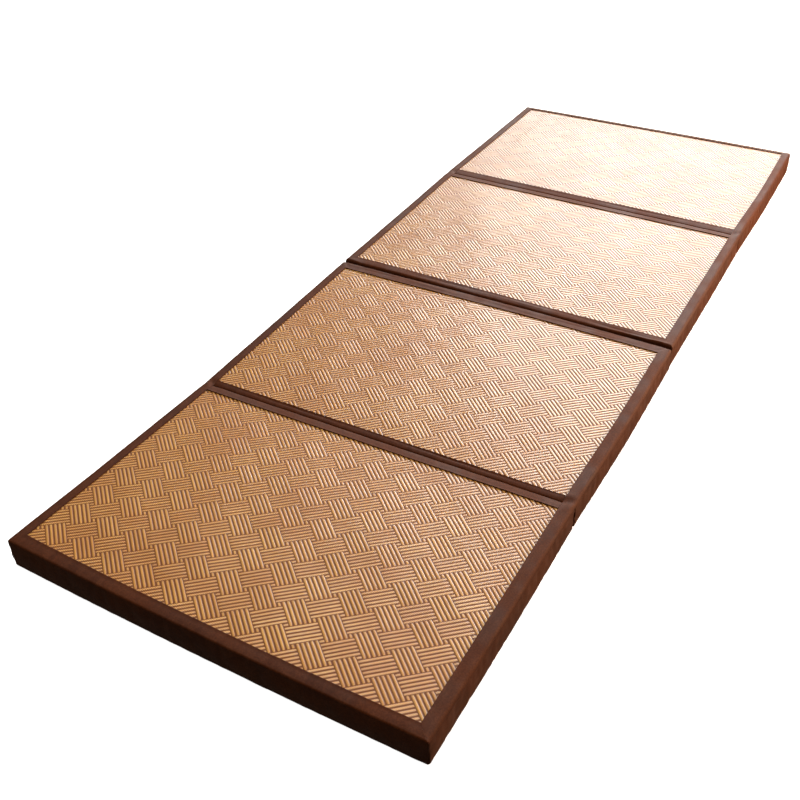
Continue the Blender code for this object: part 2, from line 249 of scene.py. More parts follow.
# Small forms of the border cloth. Each is a soft ridge or trough with its place across the mat
# and along it from the front, its height, its half length and half width, and the turn of its
# length from the mat's own length, in degrees. The rows are in millimetres.
Pucker = namedtuple("Pucker", "across along height long wide turn")
PUCKER_ROWS = (
    (334, 441, 1.6, 9, 5, 20),
    (330, 454, -1.6, 12, 2.6, 62),
    (322, 462, 1.2, 10, 3.5, 55),
    (-327, 442, 1.4, 9, 4, -30),
    (-326, 453, -1.5, 12, 2.6, -60),
    (-318, 461, 1.0, 9, 3.5, -50),
    (-250, 886, -1.2, 60, 2.2, 88),
    (-140, 889, 0.9, 50, 2.6, 91),
    (-120, 915, -1.1, 70, 2.4, 89),
    (20, 887, -0.9, 55, 2.0, 92),
    (60, 912, 0.9, 60, 2.6, 90),
    (170, 889, -1.2, 60, 2.2, 88),
    (230, 913, -1.3, 55, 2.4, 92),
    (280, 906, 1.8, 60, 3.4, 90),
    (318, 908, 1.6, 22, 3.6, 84),
    (326, 889, -1.4, 14, 2.6, 40),
    (-322, 907, 1.3, 16, 3.4, 96),
    (-326, 889, -1.2, 12, 2.6, -45),
    (333, 1350, 1.4, 8, 4.5, 15),
    (328, 1363, -1.4, 11, 2.5, 58),
    (-328, 1350, 1.1, 8, 4.0, -20),
    (-326, 1363, -1.2, 11, 2.5, -58),
    (120, 1368, -1.0, 90, 2.2, 90),
    (-120, 1366, -1.0, 80, 2.2, 90),
    (-150, 455, -0.9, 90, 2.0, 90),
    (140, 457, -0.9, 90, 2.0, 90),
)
PUCKERS = [Pucker(*(value * MM for value in row[:-1]), row[-1]) for row in PUCKER_ROWS]

# Slow waves that the cloth and the woven sheets lie in: wavelength, turn in degrees, phase in
# radians and share of the height
Wave = namedtuple("Wave", "length turn phase share")
CLOTH_WAVES = (
    Wave(96 * MM, 20, 0.4, 0.30),
    Wave(61 * MM, 70, 2.1, 0.28),
    Wave(37 * MM, -35, 4.4, 0.24),
    Wave(23 * MM, 48, 1.3, 0.18),
)
FACE_WAVES = (
    Wave(210 * MM, 12, 0.9, 0.34),
    Wave(133 * MM, 64, 3.2, 0.28),
    Wave(88 * MM, -41, 5.0, 0.22),
    Wave(54 * MM, 33, 1.8, 0.16),
)
CLOTH_WAVE_HEIGHT = 0.35 * MM
FACE_WAVE_HEIGHT = 0.7 * MM


def waves(table, x, y):
    """The sum of a table's waves, from about -1 to 1."""
    total = np.zeros(np.broadcast(x, y).shape)
    for wave in table:
        turn = math.radians(wave.turn)
        along = x * math.sin(turn) + y * math.cos(turn)
        total += wave.share * np.sin(2 * math.pi * along / wave.length + wave.phase)
    return total


def puckers(x, y):
    """Height of the small forms of the border cloth."""
    total = np.zeros(np.broadcast(x, y).shape)
    for form in PUCKERS:
        turn = math.radians(form.turn)
        dx = x - form.across
        dy = y + LENGTH / 2 - form.along
        along = dx * math.sin(turn) + dy * math.cos(turn)
        beside = dx * math.cos(turn) - dy * math.sin(turn)
        total += form.height * np.exp(-(along / form.long) ** 2 - (beside / form.wide) ** 2)
    return total


# Rounds in which a place across the mat and one along it settle on each other
PLACE_ROUNDS = 4


class Plot:
    """A stretch of the mat between two of its lines, as a rectangle laid into the mat's plan."""

    def __init__(self, near, far):
        self.near = near
        self.far = far
        self.length = far.at - near.at

    def near_y(self, x):
        return line_y(self.near, x) + half_gap(self.near, x)

    def far_y(self, x):
        return line_y(self.far, x) - half_gap(self.far, x)

    def place(self, across, along):
        """Plan place of points that are given in metres from the rectangle's front left corner."""
        y = self.near.at - LENGTH / 2 + along
        for _ in range(PLACE_ROUNDS):
            x = mix(left_side(y), right_side(y), across / WIDTH) + self.taken(y, across)
            y = mix(self.near_y(x), self.far_y(x), along / self.length) + self.widening(x, along)
        return x, y

    def taken(self, y, across):
        """How far places on the right border and close beside it give way to the woven face."""
        inset = WIDTH - across
        past = (inset - RIGHT_BAND) / WIDENING_FADE
        share = np.clip(inset / RIGHT_BAND, 0.0, 1.0) * np.clip(1 - past, 0.0, 1.0)
        return share * drawn_in(y, "taken")

    def widening(self, x, along):
        """How far the front border's extra width moves places on it and close behind it."""
        if self.near.name != "front":
            return 0.0
        past = (along - self.near.after) / WIDENING_FADE
        share = np.clip(along / self.near.after, 0.0, 1.0) * np.clip(1 - past, 0.0, 1.0)
        return share * curve(FRONT_WIDENING, x)

    def field(self, across, along, inset=0.0):
        """Plan place on the woven face, given as shares from its front left corner."""
        y = (self.near.at + self.far.at) / 2 - LENGTH / 2
        for _ in range(PLACE_ROUNDS):
            right = right_side(y) - RIGHT_BAND + drawn_in(y, "taken")
            x = mix(left_side(y) + LEFT_BAND + inset, right - inset, across)
            near = line_y(self.near, x) + self.near.after + self.widening(x, self.near.after) + inset
            far = line_y(self.far, x) - self.far.before - inset
            y = mix(near, far, along)
        return x, y

    def edges(self):
        """Edge forms of the near, right, far and left sides."""
        near = EDGES[LINE_EDGES[self.near.name]]
        far = EDGES[LINE_EDGES[self.far.name]]
        return near, EDGES["right"], far, EDGES["left"]

    def bands(self):
        """Border widths on the near, right, far and left sides, from the pad's own edge."""
        near = self.near.after - float(half_gap(self.near, 0.0))
        far = self.far.before - float(half_gap(self.far, 0.0))
        return near, RIGHT_BAND, far, LEFT_BAND

    def end(self, at_far):
        """The line at one end of the plot, the edge form there and the border's width."""
        line = self.far if at_far else self.near
        return line, EDGES[LINE_EDGES[line.name]], line.before if at_far else line.after

    def radii(self):
        """Corner radii of the near and far corners."""
        is_hinge = [LINE_EDGES[line.name] == "top_hinge" for line in (self.near, self.far)]
        return [HINGE_CORNER_RADIUS if hinge else CORNER_RADIUS for hinge in is_hinge]


PANELS = [Plot(near, far) for near, far in zip(LINES, LINES[1:])]
PAIRS = {"12": Plot(LINES[0], LINES[2]), "34": Plot(LINES[2], LINES[4])}

# Distance between the stations along a side, and steps round a corner
SIDE_STEP = 5 * MM
ARC_STEPS = 6
# The smallest share of its radius that a corner keeps as a ring is drawn in
SHARPEST = 0.06


class Ring:
    """Stations round a plot's rectangle: near side, right side, far side and left side, each
    with half of a rounded corner at both of its ends."""

    def __init__(self, plot):
        self.plot = plot
        sizes = (WIDTH, plot.length, WIDTH, plot.length)
        self.counts = [round(size / SIDE_STEP) for size in sizes]

    def corner(self, number):
        """Corner 0 lies between the near and right sides, and the others follow round."""
        near, far = self.plot.radii()
        return near if number in (0, 3) else far

    def side(self, number, insets):
        """Plan points of one side of the ring at the given insets, and how far each lies round
        its corners, from -0.5 at the middle of the first corner over 0 to 0.5 at the next."""
        near, right, far, left = insets
        low = np.array([left, near])
        high = np.array([WIDTH - right, self.plot.length - far])
        corners = np.array([[high[0], low[1]], high, [low[0], high[1]], low])
        first, last = corners[number - 1], corners[number]
        ahead = (last - first) / np.linalg.norm(last - first)
        inward = np.array([-ahead[1], ahead[0]])
        shrink = [max(SHARPEST, 1 - inset / CORNER_RADIUS) for inset in insets]
        points = []
        turns = []
        half = np.linspace(0.0, 1.0, ARC_STEPS // 2 + 1)
        start_radius = self.corner((number - 1) % 4) * min(shrink[number], shrink[number - 1])
        end_radius = self.corner(number) * min(shrink[number], shrink[(number + 1) % 4])
        for share in half[:-1]:
            angle = (1 - share) * math.pi / 4
            centre = first + (ahead + inward) * start_radius
            points.append(centre - (ahead * math.sin(angle) + inward * math.cos(angle)) * start_radius)
            turns.append(-0.5 * (1 - share))
        straight = np.linspace(0.0, 1.0, self.counts[number] + 1)
        a = first + ahead * start_radius
        b = last - ahead * end_radius
        points += [a + (b - a) * share for share in straight]
        turns += [0.0] * len(straight)
        for share in half[1:]:
            angle = share * math.pi / 4
            centre = last + (inward - ahead) * end_radius
            points.append(centre + (ahead * math.sin(angle) - inward * math.cos(angle)) * end_radius)
            turns.append(0.5 * share)
        return np.array(points), np.array(turns)

    def side_values(self, number, values, turns):
        """A value of each side, mixed round the corners."""
        own = values[number]
        before = values[number - 1]
        after = values[(number + 1) % 4]
        neighbour = np.where(turns < 0, before, after)
        return own + (neighbour - own) * np.abs(turns)

    def all_sides(self, insets, values):
        """Plan points and mixed values of the whole ring, once round."""
        points = []
        mixed = []
        for number in range(4):
            own_points, turns = self.side(number, insets)
            points.append(own_points[:-1])
            mixed.append(self.side_values(number, values, turns)[:-1])
        return np.vstack(points), np.concatenate(mixed)


def quads_between(rows, columns, first=0, wrap=False):
    """Quads of a grid of points that is numbered row by row."""
    count = columns if wrap else columns - 1
    i, j = np.meshgrid(np.arange(rows - 1), np.arange(count), indexing="ij")
    after = (j + 1) % columns
    corners = [i * columns + j, i * columns + after, (i + 1) * columns + after, (i + 1) * columns + j]
    return np.stack(corners, axis=-1).reshape(-1, 4) + first


# Faces that meet at a sharper angle than this, in degrees, show an edge
SHARP_ANGLE = 55


def mesh_object(name, points, faces, material):
    """A smooth shaded mesh object from points and faces."""
    mesh = bpy.data.meshes.new(name)
    mesh.from_pydata([tuple(point) for point in points], [], [tuple(face) for face in faces])
    mesh.materials.append(material)
    mesh.shade_smooth()
    mesh.set_sharp_from_angle(angle=math.radians(SHARP_ANGLE))
    made = bpy.data.objects.new(name, mesh)
    bpy.context.scene.collection.objects.link(made)
    return made


def closed_sheet(name, top, bottom, material):
    """A thin closed sheet from two grids of points with the same rows and columns."""
    rows, columns = top.shape[:2]
    count = rows * columns
    points = np.vstack([top.reshape(-1, 3), bottom.reshape(-1, 3)])
    upper = quads_between(rows, columns)
    lower = quads_between(rows, columns, count)[:, ::-1]
    grid = np.arange(count).reshape(rows, columns)
    loop = np.concatenate([grid[0, :-1], grid[:-1, -1], grid[-1, :0:-1], grid[:0:-1, 0]])
    after = np.roll(loop, -1)
    rim = np.stack([loop, loop + count, after + count, after], axis=-1)
    faces = np.vstack([upper, lower, rim])
    if normal_up(points, upper) < 0:
        faces = faces[:, ::-1]
    return mesh_object(name, points, faces, material)


def normal_up(points, faces):
    """The sum of the upward parts of the faces' normals."""
    a, b, c = (points[faces[:, k]] for k in (0, 1, 2))
    return np.cross(b - a, c - a)[:, 2].sum()


# Shader node helpers and shared effects

def link_in(tree, socket, value):
    """Feeds a socket with another socket or with a fixed value."""
    if isinstance(value, bpy.types.NodeSocket):
        tree.links.new(value, socket)
    else:
        socket.default_value = value


def feed(tree, made, **values):
    """Feeds a node's sockets by name, where a low line stands for a space."""
    for name, value in values.items():
        link_in(tree, made.inputs[name.replace("_", " ")], value)


def named_node(tree, kind, **values):
    """A new node with its sockets fed by name."""
    made = tree.nodes.new(kind)
    feed(tree, made, **values)
    return made


def math_node(tree, operation, *values, clamp=False):
    made = tree.nodes.new("ShaderNodeMath")
    made.operation = operation
    made.use_clamp = clamp
    for number, value in enumerate(values):
        link_in(tree, made.inputs[number], value)
    return made.outputs[0]


def noise_node(tree, vector, scale, detail=3.0, roughness=0.5, stretch=(1.0, 1.0, 1.0)):
    """Noise on the piece's own coordinates, as a value about 0.5."""
    place = named_node(tree, "ShaderNodeMapping", Vector=vector, Scale=stretch).outputs[0]
    made = named_node(
        tree, "ShaderNodeTexNoise", Vector=place, Scale=scale, Detail=detail, Roughness=roughness,
    )
    return made.outputs["Fac"]


def range_node(tree, value, low, high, to_low=0.0, to_high=1.0):
    made = named_node(
        tree, "ShaderNodeMapRange", Value=value,
        From_Min=low, From_Max=high, To_Min=to_low, To_Max=to_high,
    )
    made.interpolation_type = "SMOOTHSTEP"
    return made.outputs["Result"]


def mix_colour(tree, share, first, second, blend="MIX"):
    made = tree.nodes.new("ShaderNodeMix")
    made.data_type = "RGBA"
    made.blend_type = blend
    link_in(tree, made.inputs[0], share)
    link_in(tree, made.inputs[6], first)
    link_in(tree, made.inputs[7], second)
    return made.outputs[2]


def opaque(colour):
    return (*colour, 1.0)


def group_sockets(tree, inputs, outputs):
    for name, kind, default in inputs:
        made = tree.interface.new_socket(name, in_out="INPUT", socket_type=kind)
        if default is not None:
            made.default_value = default
    for name, kind in outputs:
        tree.interface.new_socket(name, in_out="OUTPUT", socket_type=kind)
    given = tree.nodes.new("NodeGroupInput")
    result = tree.nodes.new("NodeGroupOutput")
    return given.outputs, result.inputs


def clouds_group():
    """Soft cloudy patches: a value that drifts slowly between 0 and 1 over the piece."""
    name = "soft_clouds"
    tree = bpy.data.node_groups.get(name)
    if tree:
        return tree
    tree = bpy.data.node_groups.new(name, "ShaderNodeTree")
    given, result = group_sockets(
        tree,
        [("Vector", "NodeSocketVector", None), ("Scale", "NodeSocketFloat", 8.0)],
        [("Patches", "NodeSocketFloat")],
    )
    wide = named_node(
        tree, "ShaderNodeTexNoise",
        Vector=given["Vector"], Scale=given["Scale"], Detail=4.0, Roughness=0.55,
    )
    spread = range_node(tree, wide.outputs["Fac"], 0.32, 0.68)
    tree.links.new(spread, result["Patches"])
    return tree


def clouds(tree, vector, scale):
    made = tree.nodes.new("ShaderNodeGroup")
    made.node_tree = clouds_group()
    feed(tree, made, Vector=vector, Scale=scale)
    return made.outputs["Patches"]


def shared_material(name, make):
    """The material of this name, made at its first use."""
    return bpy.data.materials.get(name) or make(name)


def new_material(name):
    made = bpy.data.materials.new(name)
    made.use_nodes = True
    tree = made.node_tree
    shader = tree.nodes["Principled BSDF"]
    where = tree.nodes.new("ShaderNodeTexCoord").outputs["Object"]
    return made, tree, shader, where


def bump_into(tree, shader, height, strength, distance):
    made = named_node(tree, "ShaderNodeBump", Strength=strength, Distance=distance, Height=height)
    tree.links.new(made.outputs[0], shader.inputs["Normal"])


def brown_cloth(name):
    """Smooth brown cloth with a short nap: fine mottling, soft clouds and a faint sheen."""
    settings = bpy.context.scene.mat_cloth
    made, tree, shader, where = new_material(name)
    patches = clouds(tree, where, 14.0)
    fine = noise_node(tree, where, 420.0, 4.0, 0.6)
    streaks = noise_node(tree, where, 90.0, 3.0, 0.6, (1.0, 0.35, 1.0))
    base = mix_colour(tree, patches, opaque(settings.shade), opaque(settings.colour))
    lifted = mix_colour(tree, range_node(tree, streaks, 0.35, 0.75, 0.0, 0.5), base, opaque(settings.nap))
    speckle = range_node(tree, fine, 0.3, 0.7, 0.75, 1.2)
    speckled = mix_colour(tree, 1.0, lifted, speckle, "MULTIPLY")
    rough = range_node(tree, patches, 0.0, 1.0, settings.roughness - 0.06, settings.roughness + 0.06)
    feed(
        tree, shader, Base_Color=speckled, Roughness=rough,
        Sheen_Weight=0.10, Sheen_Roughness=0.45, Sheen_Tint=(0.95, 0.60, 0.44, 1.0),
        Specular_IOR_Level=0.22, Specular_Tint=(1.0, 0.62, 0.44, 1.0),
    )
    nap = math_node(tree, "ADD", math_node(tree, "MULTIPLY", fine, 0.4), streaks)
    bump_into(tree, shader, nap, 0.25, 0.0006)
    return made


def bamboo_ground(name):
    """The ground in the grooves between the cords: its dark brown is partly its own colour, partly painted
    shade.
    """
    settings = bpy.context.scene.mat_weave
    made, tree, shader, where = new_material(name)
    fibre = noise_node(tree, where, 700.0, 3.0, 0.6)
    # Fibre noise mixes the ground's own colour with the painted groove shade colour of the cords' flanks
    ground = mix_colour(tree, fibre, opaque(settings.ground), opaque(settings.groove_shade))
    feed(tree, shader, Base_Color=ground, Roughness=0.75)
    bump_into(tree, shader, fibre, 0.5, 0.0004)
    return made


def attribute(tree, name):
    made = tree.nodes.new("ShaderNodeAttribute")
    made.attribute_name = name
    return made.outputs["Fac"]


def bamboo_cords(name):
    """Twisted bamboo cords: slanted turns, painted shade in the twist's valleys and on the flanks, tone by
    cord and cloudy patches.
    """
    settings = bpy.context.scene.mat_weave
    made, tree, shader, where = new_material(name)
    along = attribute(tree, "along")
    across = attribute(tree, "across")
    tone = attribute(tree, "tone")
    slant = math_node(tree, "MULTIPLY_ADD", across, settings.twist_slant, along)
    wobble = math_node(tree, "MULTIPLY_ADD", noise_node(tree, where, 160.0, 2.0), 0.9, slant)
    phase = math_node(tree, "MULTIPLY", wobble, 2 * math.pi / settings.twist_pitch)
    turns = math_node(tree, "MULTIPLY_ADD", math_node(tree, "SINE", phase), 0.5, 0.5)
    # Painted shade: the colour darkens towards a cord's flanks, where the grooves between the cords are
    # shaded
    flank = math_node(tree, "POWER", math_node(tree, "ABSOLUTE", across), 2.6)
    fibre = noise_node(tree, where, 1500.0, 3.0, 0.6)
    patches = clouds(tree, where, 9.0)
    pale = mix_colour(tree, patches, opaque(settings.cord), opaque(settings.pale))
    toned = mix_colour(
        tree, math_node(tree, "MULTIPLY_ADD", tone, 0.5, 0.5, clamp=True), opaque(settings.deep_tone_and_valley_shade), pale
    )
    body = mix_colour(tree, 0.45, pale, toned)
    # Painted shade: the twist's valleys are mixed towards the deep colour
    valley_shade = math_node(tree, "MULTIPLY", math_node(tree, "SUBTRACT", 1.0, turns), 0.5)
    turned = mix_colour(tree, valley_shade, body, opaque(settings.deep_tone_and_valley_shade))
    # The painted flank shade, mixed towards the groove shade colour
    flank_shade = math_node(tree, "MULTIPLY", flank, 0.85, clamp=True)
    flank_shaded = mix_colour(tree, flank_shade, turned, opaque(settings.groove_shade))
    grained = mix_colour(tree, 1.0, flank_shaded, range_node(tree, fibre, 0.3, 0.7, 0.85, 1.1), "MULTIPLY")
    rough = range_node(tree, patches, 0.0, 1.0, settings.roughness + 0.05, settings.roughness - 0.05)
    feed(
        tree, shader, Base_Color=grained, Roughness=rough,
        Specular_IOR_Level=0.5, Coat_Weight=0.7, Coat_Roughness=0.30,
    )
    height = math_node(tree, "MULTIPLY_ADD", fibre, 0.25, turns)
    bump_into(tree, shader, height, 0.6, 0.0007)
    return made


# Settings

def length_setting(name, description, default, least=0.0):
    return FloatProperty(
        name=name, description=description, default=default, min=least,
        subtype="DISTANCE", unit="LENGTH",
    )


def colour_setting(name, description, default):
    return FloatVectorProperty(
        name=name, description=description, default=default, min=0.0, max=1.0, subtype="COLOR",
    )


class MatPadSettings(bpy.types.PropertyGroup):
    bulge: length_setting("Bulge", "How far a pad's wall swells at mid height", 0.9 * MM)
    softness: length_setting("Softness", "Height of the slow dents in a pad's wall", 0.5 * MM)
    pressure: FloatProperty(
        name="Pressure", description="How hard the filling presses on the cover cloth", default=4.0,
    )
    most_moved: length_setting(
        "Most moved", "The furthest that a point of the cover may settle", 1.6 * MM,
    )


class MatClothSettings(bpy.types.PropertyGroup):
    colour: colour_setting("Colour", "Main colour of the brown cloth", (0.064, 0.0155, 0.0042))
    shade: colour_setting("Shade", "Colour of the cloth's darker patches", (0.042, 0.0102, 0.0034))
    nap: colour_setting("Nap", "Colour of the raised nap", (0.083, 0.026, 0.0105))
    roughness: FloatProperty(
        name="Roughness", description="Roughness of the cloth", default=0.72, min=0.0, max=1.0,
    )
    lip_rise: length_setting(
        "Lip rise", "How far a border's inner edge stands over the border", 0.9 * MM,
    )
    pillow: length_setting("Pillow", "Height of the soft crown along a border", 0.5 * MM)


class MatWeaveSettings(bpy.types.PropertyGroup):
    cell_across: length_setting(
        "Cell across", "Repeat of the basket weave across the mat", 54.9 * MM, least=0.01,
    )
    cell_along: length_setting(
        "Cell along", "Repeat of the basket weave along the mat", 48.7 * MM, least=0.01,
    )
    cord_width: FloatProperty(
        name="Cord width", description="Width of a cord as a share of the space it has",
        default=0.64, min=0.2, max=1.0, subtype="FACTOR",
    )
    cord_height: length_setting(
        "Cord height", "Height of a cord over the ground of the weave", 0.32 * MM,
    )
    twist_pitch: FloatProperty(
        name="Twist pitch", description="Length of one turn of a cord's twist, in millimetres",
        default=2.8, min=0.5,
    )
    twist_slant: FloatProperty(
        name="Twist slant", description="How far the twist runs along a cord from its middle to its flank",
        default=1.6, min=0.0,
    )
    seed: IntProperty(
        name="Seed", description="Seed of the small differences between cords", default=7, min=0,
    )
    cord: colour_setting("Cord", "Main colour of the bamboo cords", (0.66, 0.325, 0.068))
    pale: colour_setting("Pale", "Colour of the paler patches of bamboo", (0.78, 0.44, 0.11))
    # Both the darker cords' own tone and the painted shade in the twist's valleys
    deep_tone_and_valley_shade: colour_setting(
        "Deep", "Colour of the darker cords and of the twist's valleys", (0.44, 0.170, 0.022),
    )
    # Painted shade: the colour a cord's flanks darken to where the grooves are shaded; the ground's fibre
    # noise also mixes it in
    groove_shade: colour_setting("Groove", "Colour low on a cord's flanks", (0.17, 0.052, 0.006))
    # The ground's dark brown is partly its own colour and partly painted shade for the depth of the
    # grooves
    ground: colour_setting("Ground", "Colour of the ground under the cords", (0.13, 0.038, 0.005))
    roughness: FloatProperty(
        name="Roughness", description="Roughness of the bamboo", default=0.46, min=0.0, max=1.0,
    )


class MatStageSettings(bpy.types.PropertyGroup):
    floor_size: length_setting("Floor size", "Width of the plain floor", 24.0, least=1.0)
    lens: FloatProperty(
        name="Lens", description="Focal length of the camera", default=45.57, min=1.0, unit="CAMERA",
    )


# Borders

# The flat part of a border from the end of its rolled edge to the woven face: share of the way,
# share of the pillow's height, share of the lip's rise, and how far the underside lies behind the
# top's place and below the border's height
LipRow = namedtuple("LipRow", "share pillow lip under_back under_drop")
BORDER_ROWS = (
    LipRow(0.14, 0.45, 0.0, 0.0, 2.0 * MM),
    LipRow(0.30, 0.85, 0.0, 0.0, 2.0 * MM),
    LipRow(0.46, 1.00, 0.0, 0.0, 2.0 * MM),
    LipRow(0.62, 0.85, 0.05, 0.0, 2.0 * MM),
    LipRow(0.76, 0.50, 0.25, 0.6 * MM, 2.0 * MM),
    LipRow(0.86, 0.20, 0.62, 1.0 * MM, 1.9 * MM),
    LipRow(0.93, 0.0, 0.92, 1.2 * MM, 0.7 * MM),
    LipRow(0.98, 0.0, 1.00, 0.9 * MM, 0.0 * MM),
    LipRow(1.00, 0.0, 0.80, 0.0 * MM, 0.0 * MM),
)
# Degrees at which the rolled edge has its rows
ROLL_ANGLES = (0, 15, 30, 45, 60, 75, 90)
# How far the underside is lifted clear of the pad
UNDERSIDE_LIFT = 0.1 * MM
# How far below a border's top its puckers and waves have faded out
FORMS_FADE = 4 * MM
# How far a strip ends short of a mitre, and short of the side border that it meets square
MITRE_TRIM = 0.12 * MM
BUTT_GAP = 0.3 * MM


def border_section(edges, bands):
    """Rows of a border from its sewn edge on the wall to the woven face. Each row has the insets
    of the four sides, their drops below the border's top, and the same for its underside."""
    settings = bpy.context.scene.mat_cloth
    rows = []
    for degrees in ROLL_ANGLES:
        angle = math.radians(degrees)
        top_in = [edge.roll * (1 - math.cos(angle)) for edge in edges]
        top_drop = [edge.roll * (1 - math.sin(angle)) for edge in edges]
        inner = [edge.roll - BORDER_THICKNESS for edge in edges]
        low_in = [edge.roll - radius * math.cos(angle) for edge, radius in zip(edges, inner)]
        low_drop = [edge.roll - radius * math.sin(angle) for edge, radius in zip(edges, inner)]
        rows.append((top_in, top_drop, low_in, low_drop))
    for row in BORDER_ROWS:
        rise = row.pillow * settings.pillow + row.lip * settings.lip_rise
        top_in = [mix(edge.roll, band, row.share) for edge, band in zip(edges, bands)]
        low_in = [inset - row.under_back for inset in top_in]
        rows.append((top_in, [-rise] * 4, low_in, [row.under_drop - UNDERSIDE_LIFT] * 4))
    return rows


def cloth_height(x, y):
    """The border cloth's own unevenness."""
    return puckers(x, y) + CLOTH_WAVE_HEIGHT * waves(CLOTH_WAVES, x, y)


def ring_border(name, plot, sides, material):
    """A border strip along one side of a plot, mitred at both of its ends."""
    ring = Ring(plot)
    edges, bands = plot.edges(), plot.bands()
    top, bottom = [], []
    for top_in, top_drop, low_in, low_drop in border_section(edges, bands):
        for target, insets, drops in ((top, top_in, top_drop), (bottom, low_in, low_drop)):
            points, turns = ring.side(sides, insets)
            x, y = plot.place(points[:, 0], points[:, 1])
            drop = ring.side_values(sides, drops, turns)
            soft = cloth_height(x, y) * smooth(drop, FORMS_FADE, 0.0)
            target.append(np.stack([x, y, border_top(x, y) - drop + soft], axis=-1))
    top, bottom = np.array(top), np.array(bottom)
    for grid in (top, bottom):
        ahead = grid[:, 1] - grid[:, 0]
        back = grid[:, -2] - grid[:, -1]
        grid[:, 0] += ahead / np.linalg.norm(ahead, axis=-1, keepdims=True) * MITRE_TRIM
        grid[:, -1] += back / np.linalg.norm(back, axis=-1, keepdims=True) * MITRE_TRIM
    return closed_sheet(name, top, bottom, material)


def hinge_border(name, plot, at_far, material):
    """A border strip along a seam that hinges at the top, square at both of its ends."""
    line, edge, band = plot.end(at_far)
    inward = -1 if at_far else 1
    count = round((WIDTH - LEFT_BAND - RIGHT_BAND) / SIDE_STEP)
    share = np.linspace(0.0, 1.0, count + 1)
    base_x, _ = plot.field(share, np.full_like(share, 1.0 if at_far else 0.0))
    base_x[0] += BUTT_GAP
    base_x[-1] -= BUTT_GAP
    top, bottom = [], []
    for top_in, top_drop, low_in, low_drop in border_section([edge] * 4, [band] * 4):
        for target, insets, drops in ((top, top_in, top_drop), (bottom, low_in, low_drop)):
            y = line_y(line, base_x) + inward * np.maximum(insets[0], CLOSED_GAP)
            soft = cloth_height(base_x, y) * smooth(drops[0], FORMS_FADE, 0.0)
            z = border_top(base_x, y) - drops[0] + soft
            target.append(np.stack([base_x, y, z], axis=-1))
    return closed_sheet(name, np.array(top), np.array(bottom), material)


def finish_cloth(piece, node):
    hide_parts(node)
    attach(piece, BODY)


class MAT_OT_cross_borders(bpy.types.Operator):
    """Sew the cloth borders that lie across the mat"""

    bl_idname = "mat.cross_borders"
    bl_label = "Cross borders"

    def execute(self, context):
        cloth = shared_material("brown_cloth_finish", brown_cloth)
        for number, plot in enumerate(PANELS, start=1):
            for where, at_far in (("front", False), ("back", True)):
                node = f"border_{where}_{number}"
                line, edge, band = plot.end(at_far)
                if LINE_EDGES[line.name] == "top_hinge":
                    made = hinge_border(f"{node}_cloth", plot, at_far, cloth)
                else:
                    made = ring_border(f"{node}_cloth", plot, 2 if at_far else 0, cloth)
                finish_cloth(made, node)
        return {"FINISHED"}


class MAT_OT_side_borders(bpy.types.Operator):
    """Sew the cloth borders down the two sides, each over two panels"""

    bl_idname = "mat.side_borders"
    bl_label = "Side borders"

    def execute(self, context):
        cloth = shared_material("brown_cloth_finish", brown_cloth)
        for pair, plot in PAIRS.items():
            for where, side, band in (("left", 3, LEFT_BAND), ("right", 1, RIGHT_BAND)):
                node = f"border_{where}_{pair}"
                made = ring_border(f"{node}_cloth", plot, side, cloth)
                finish_cloth(made, node)
        return {"FINISHED"}


# Pads

# Heights of the wall's rows as shares of the wall, and degrees at which the foot has its rows
WALL_SHARES = (0.12, 0.26, 0.42, 0.58, 0.74, 0.88)
FOOT_ANGLES = (0, 30, 60, 90)
# Degrees at which the pad's rim has its rows under the border
RIM_ANGLES = (45, 90)
# How far in from the foot the underside has a row of its own
UNDERSIDE_INSET = 60 * MM
# How close together the waves of the cloth lie along a wall, as a share of up it
DENT_STRETCH = 0.6
# Rows of the middle seam's foot, as shares of the recess's reach and of its height
RECESS_ROWS = ((1.0, 0.0), (0.93, 0.66), (0.5, 0.85), (0.0, 1.0))

# The short simulation of the cover cloth: the rows of the wall from the held foot to the held
# ledge, frames, solver quality, and slack as a share of the cloth
WALL_FIRST_ROW = 3
WALL_LAST_ROW = 11
SETTLE_FRAMES = 10
SETTLE_QUALITY = 3
COVER_SLACK = 0.012
# The least length that a step is divided by
TINY = 1e-9


def foot_rows(edges, names):
    """Insets and heights of the pad's foot on the four sides, from the floor to the wall."""
    rows = []
    for number, degrees in enumerate(FOOT_ANGLES):
        angle = math.radians(degrees)
        insets, heights = [], []
        for edge, name in zip(edges, names):
            if name == "floor_hinge":
                reach, rise = RECESS_ROWS[number]
                insets.append(RECESS_REACH * reach)
                heights.append((RECESS_HEIGHT + RECESS_SLOPE) * rise)
            else:
                insets.append(edge.foot_back + edge.foot_round * (1 - math.sin(angle)))
                heights.append(edge.foot_round * (1 - math.cos(angle)))
        rows.append((insets, heights))
    return rows


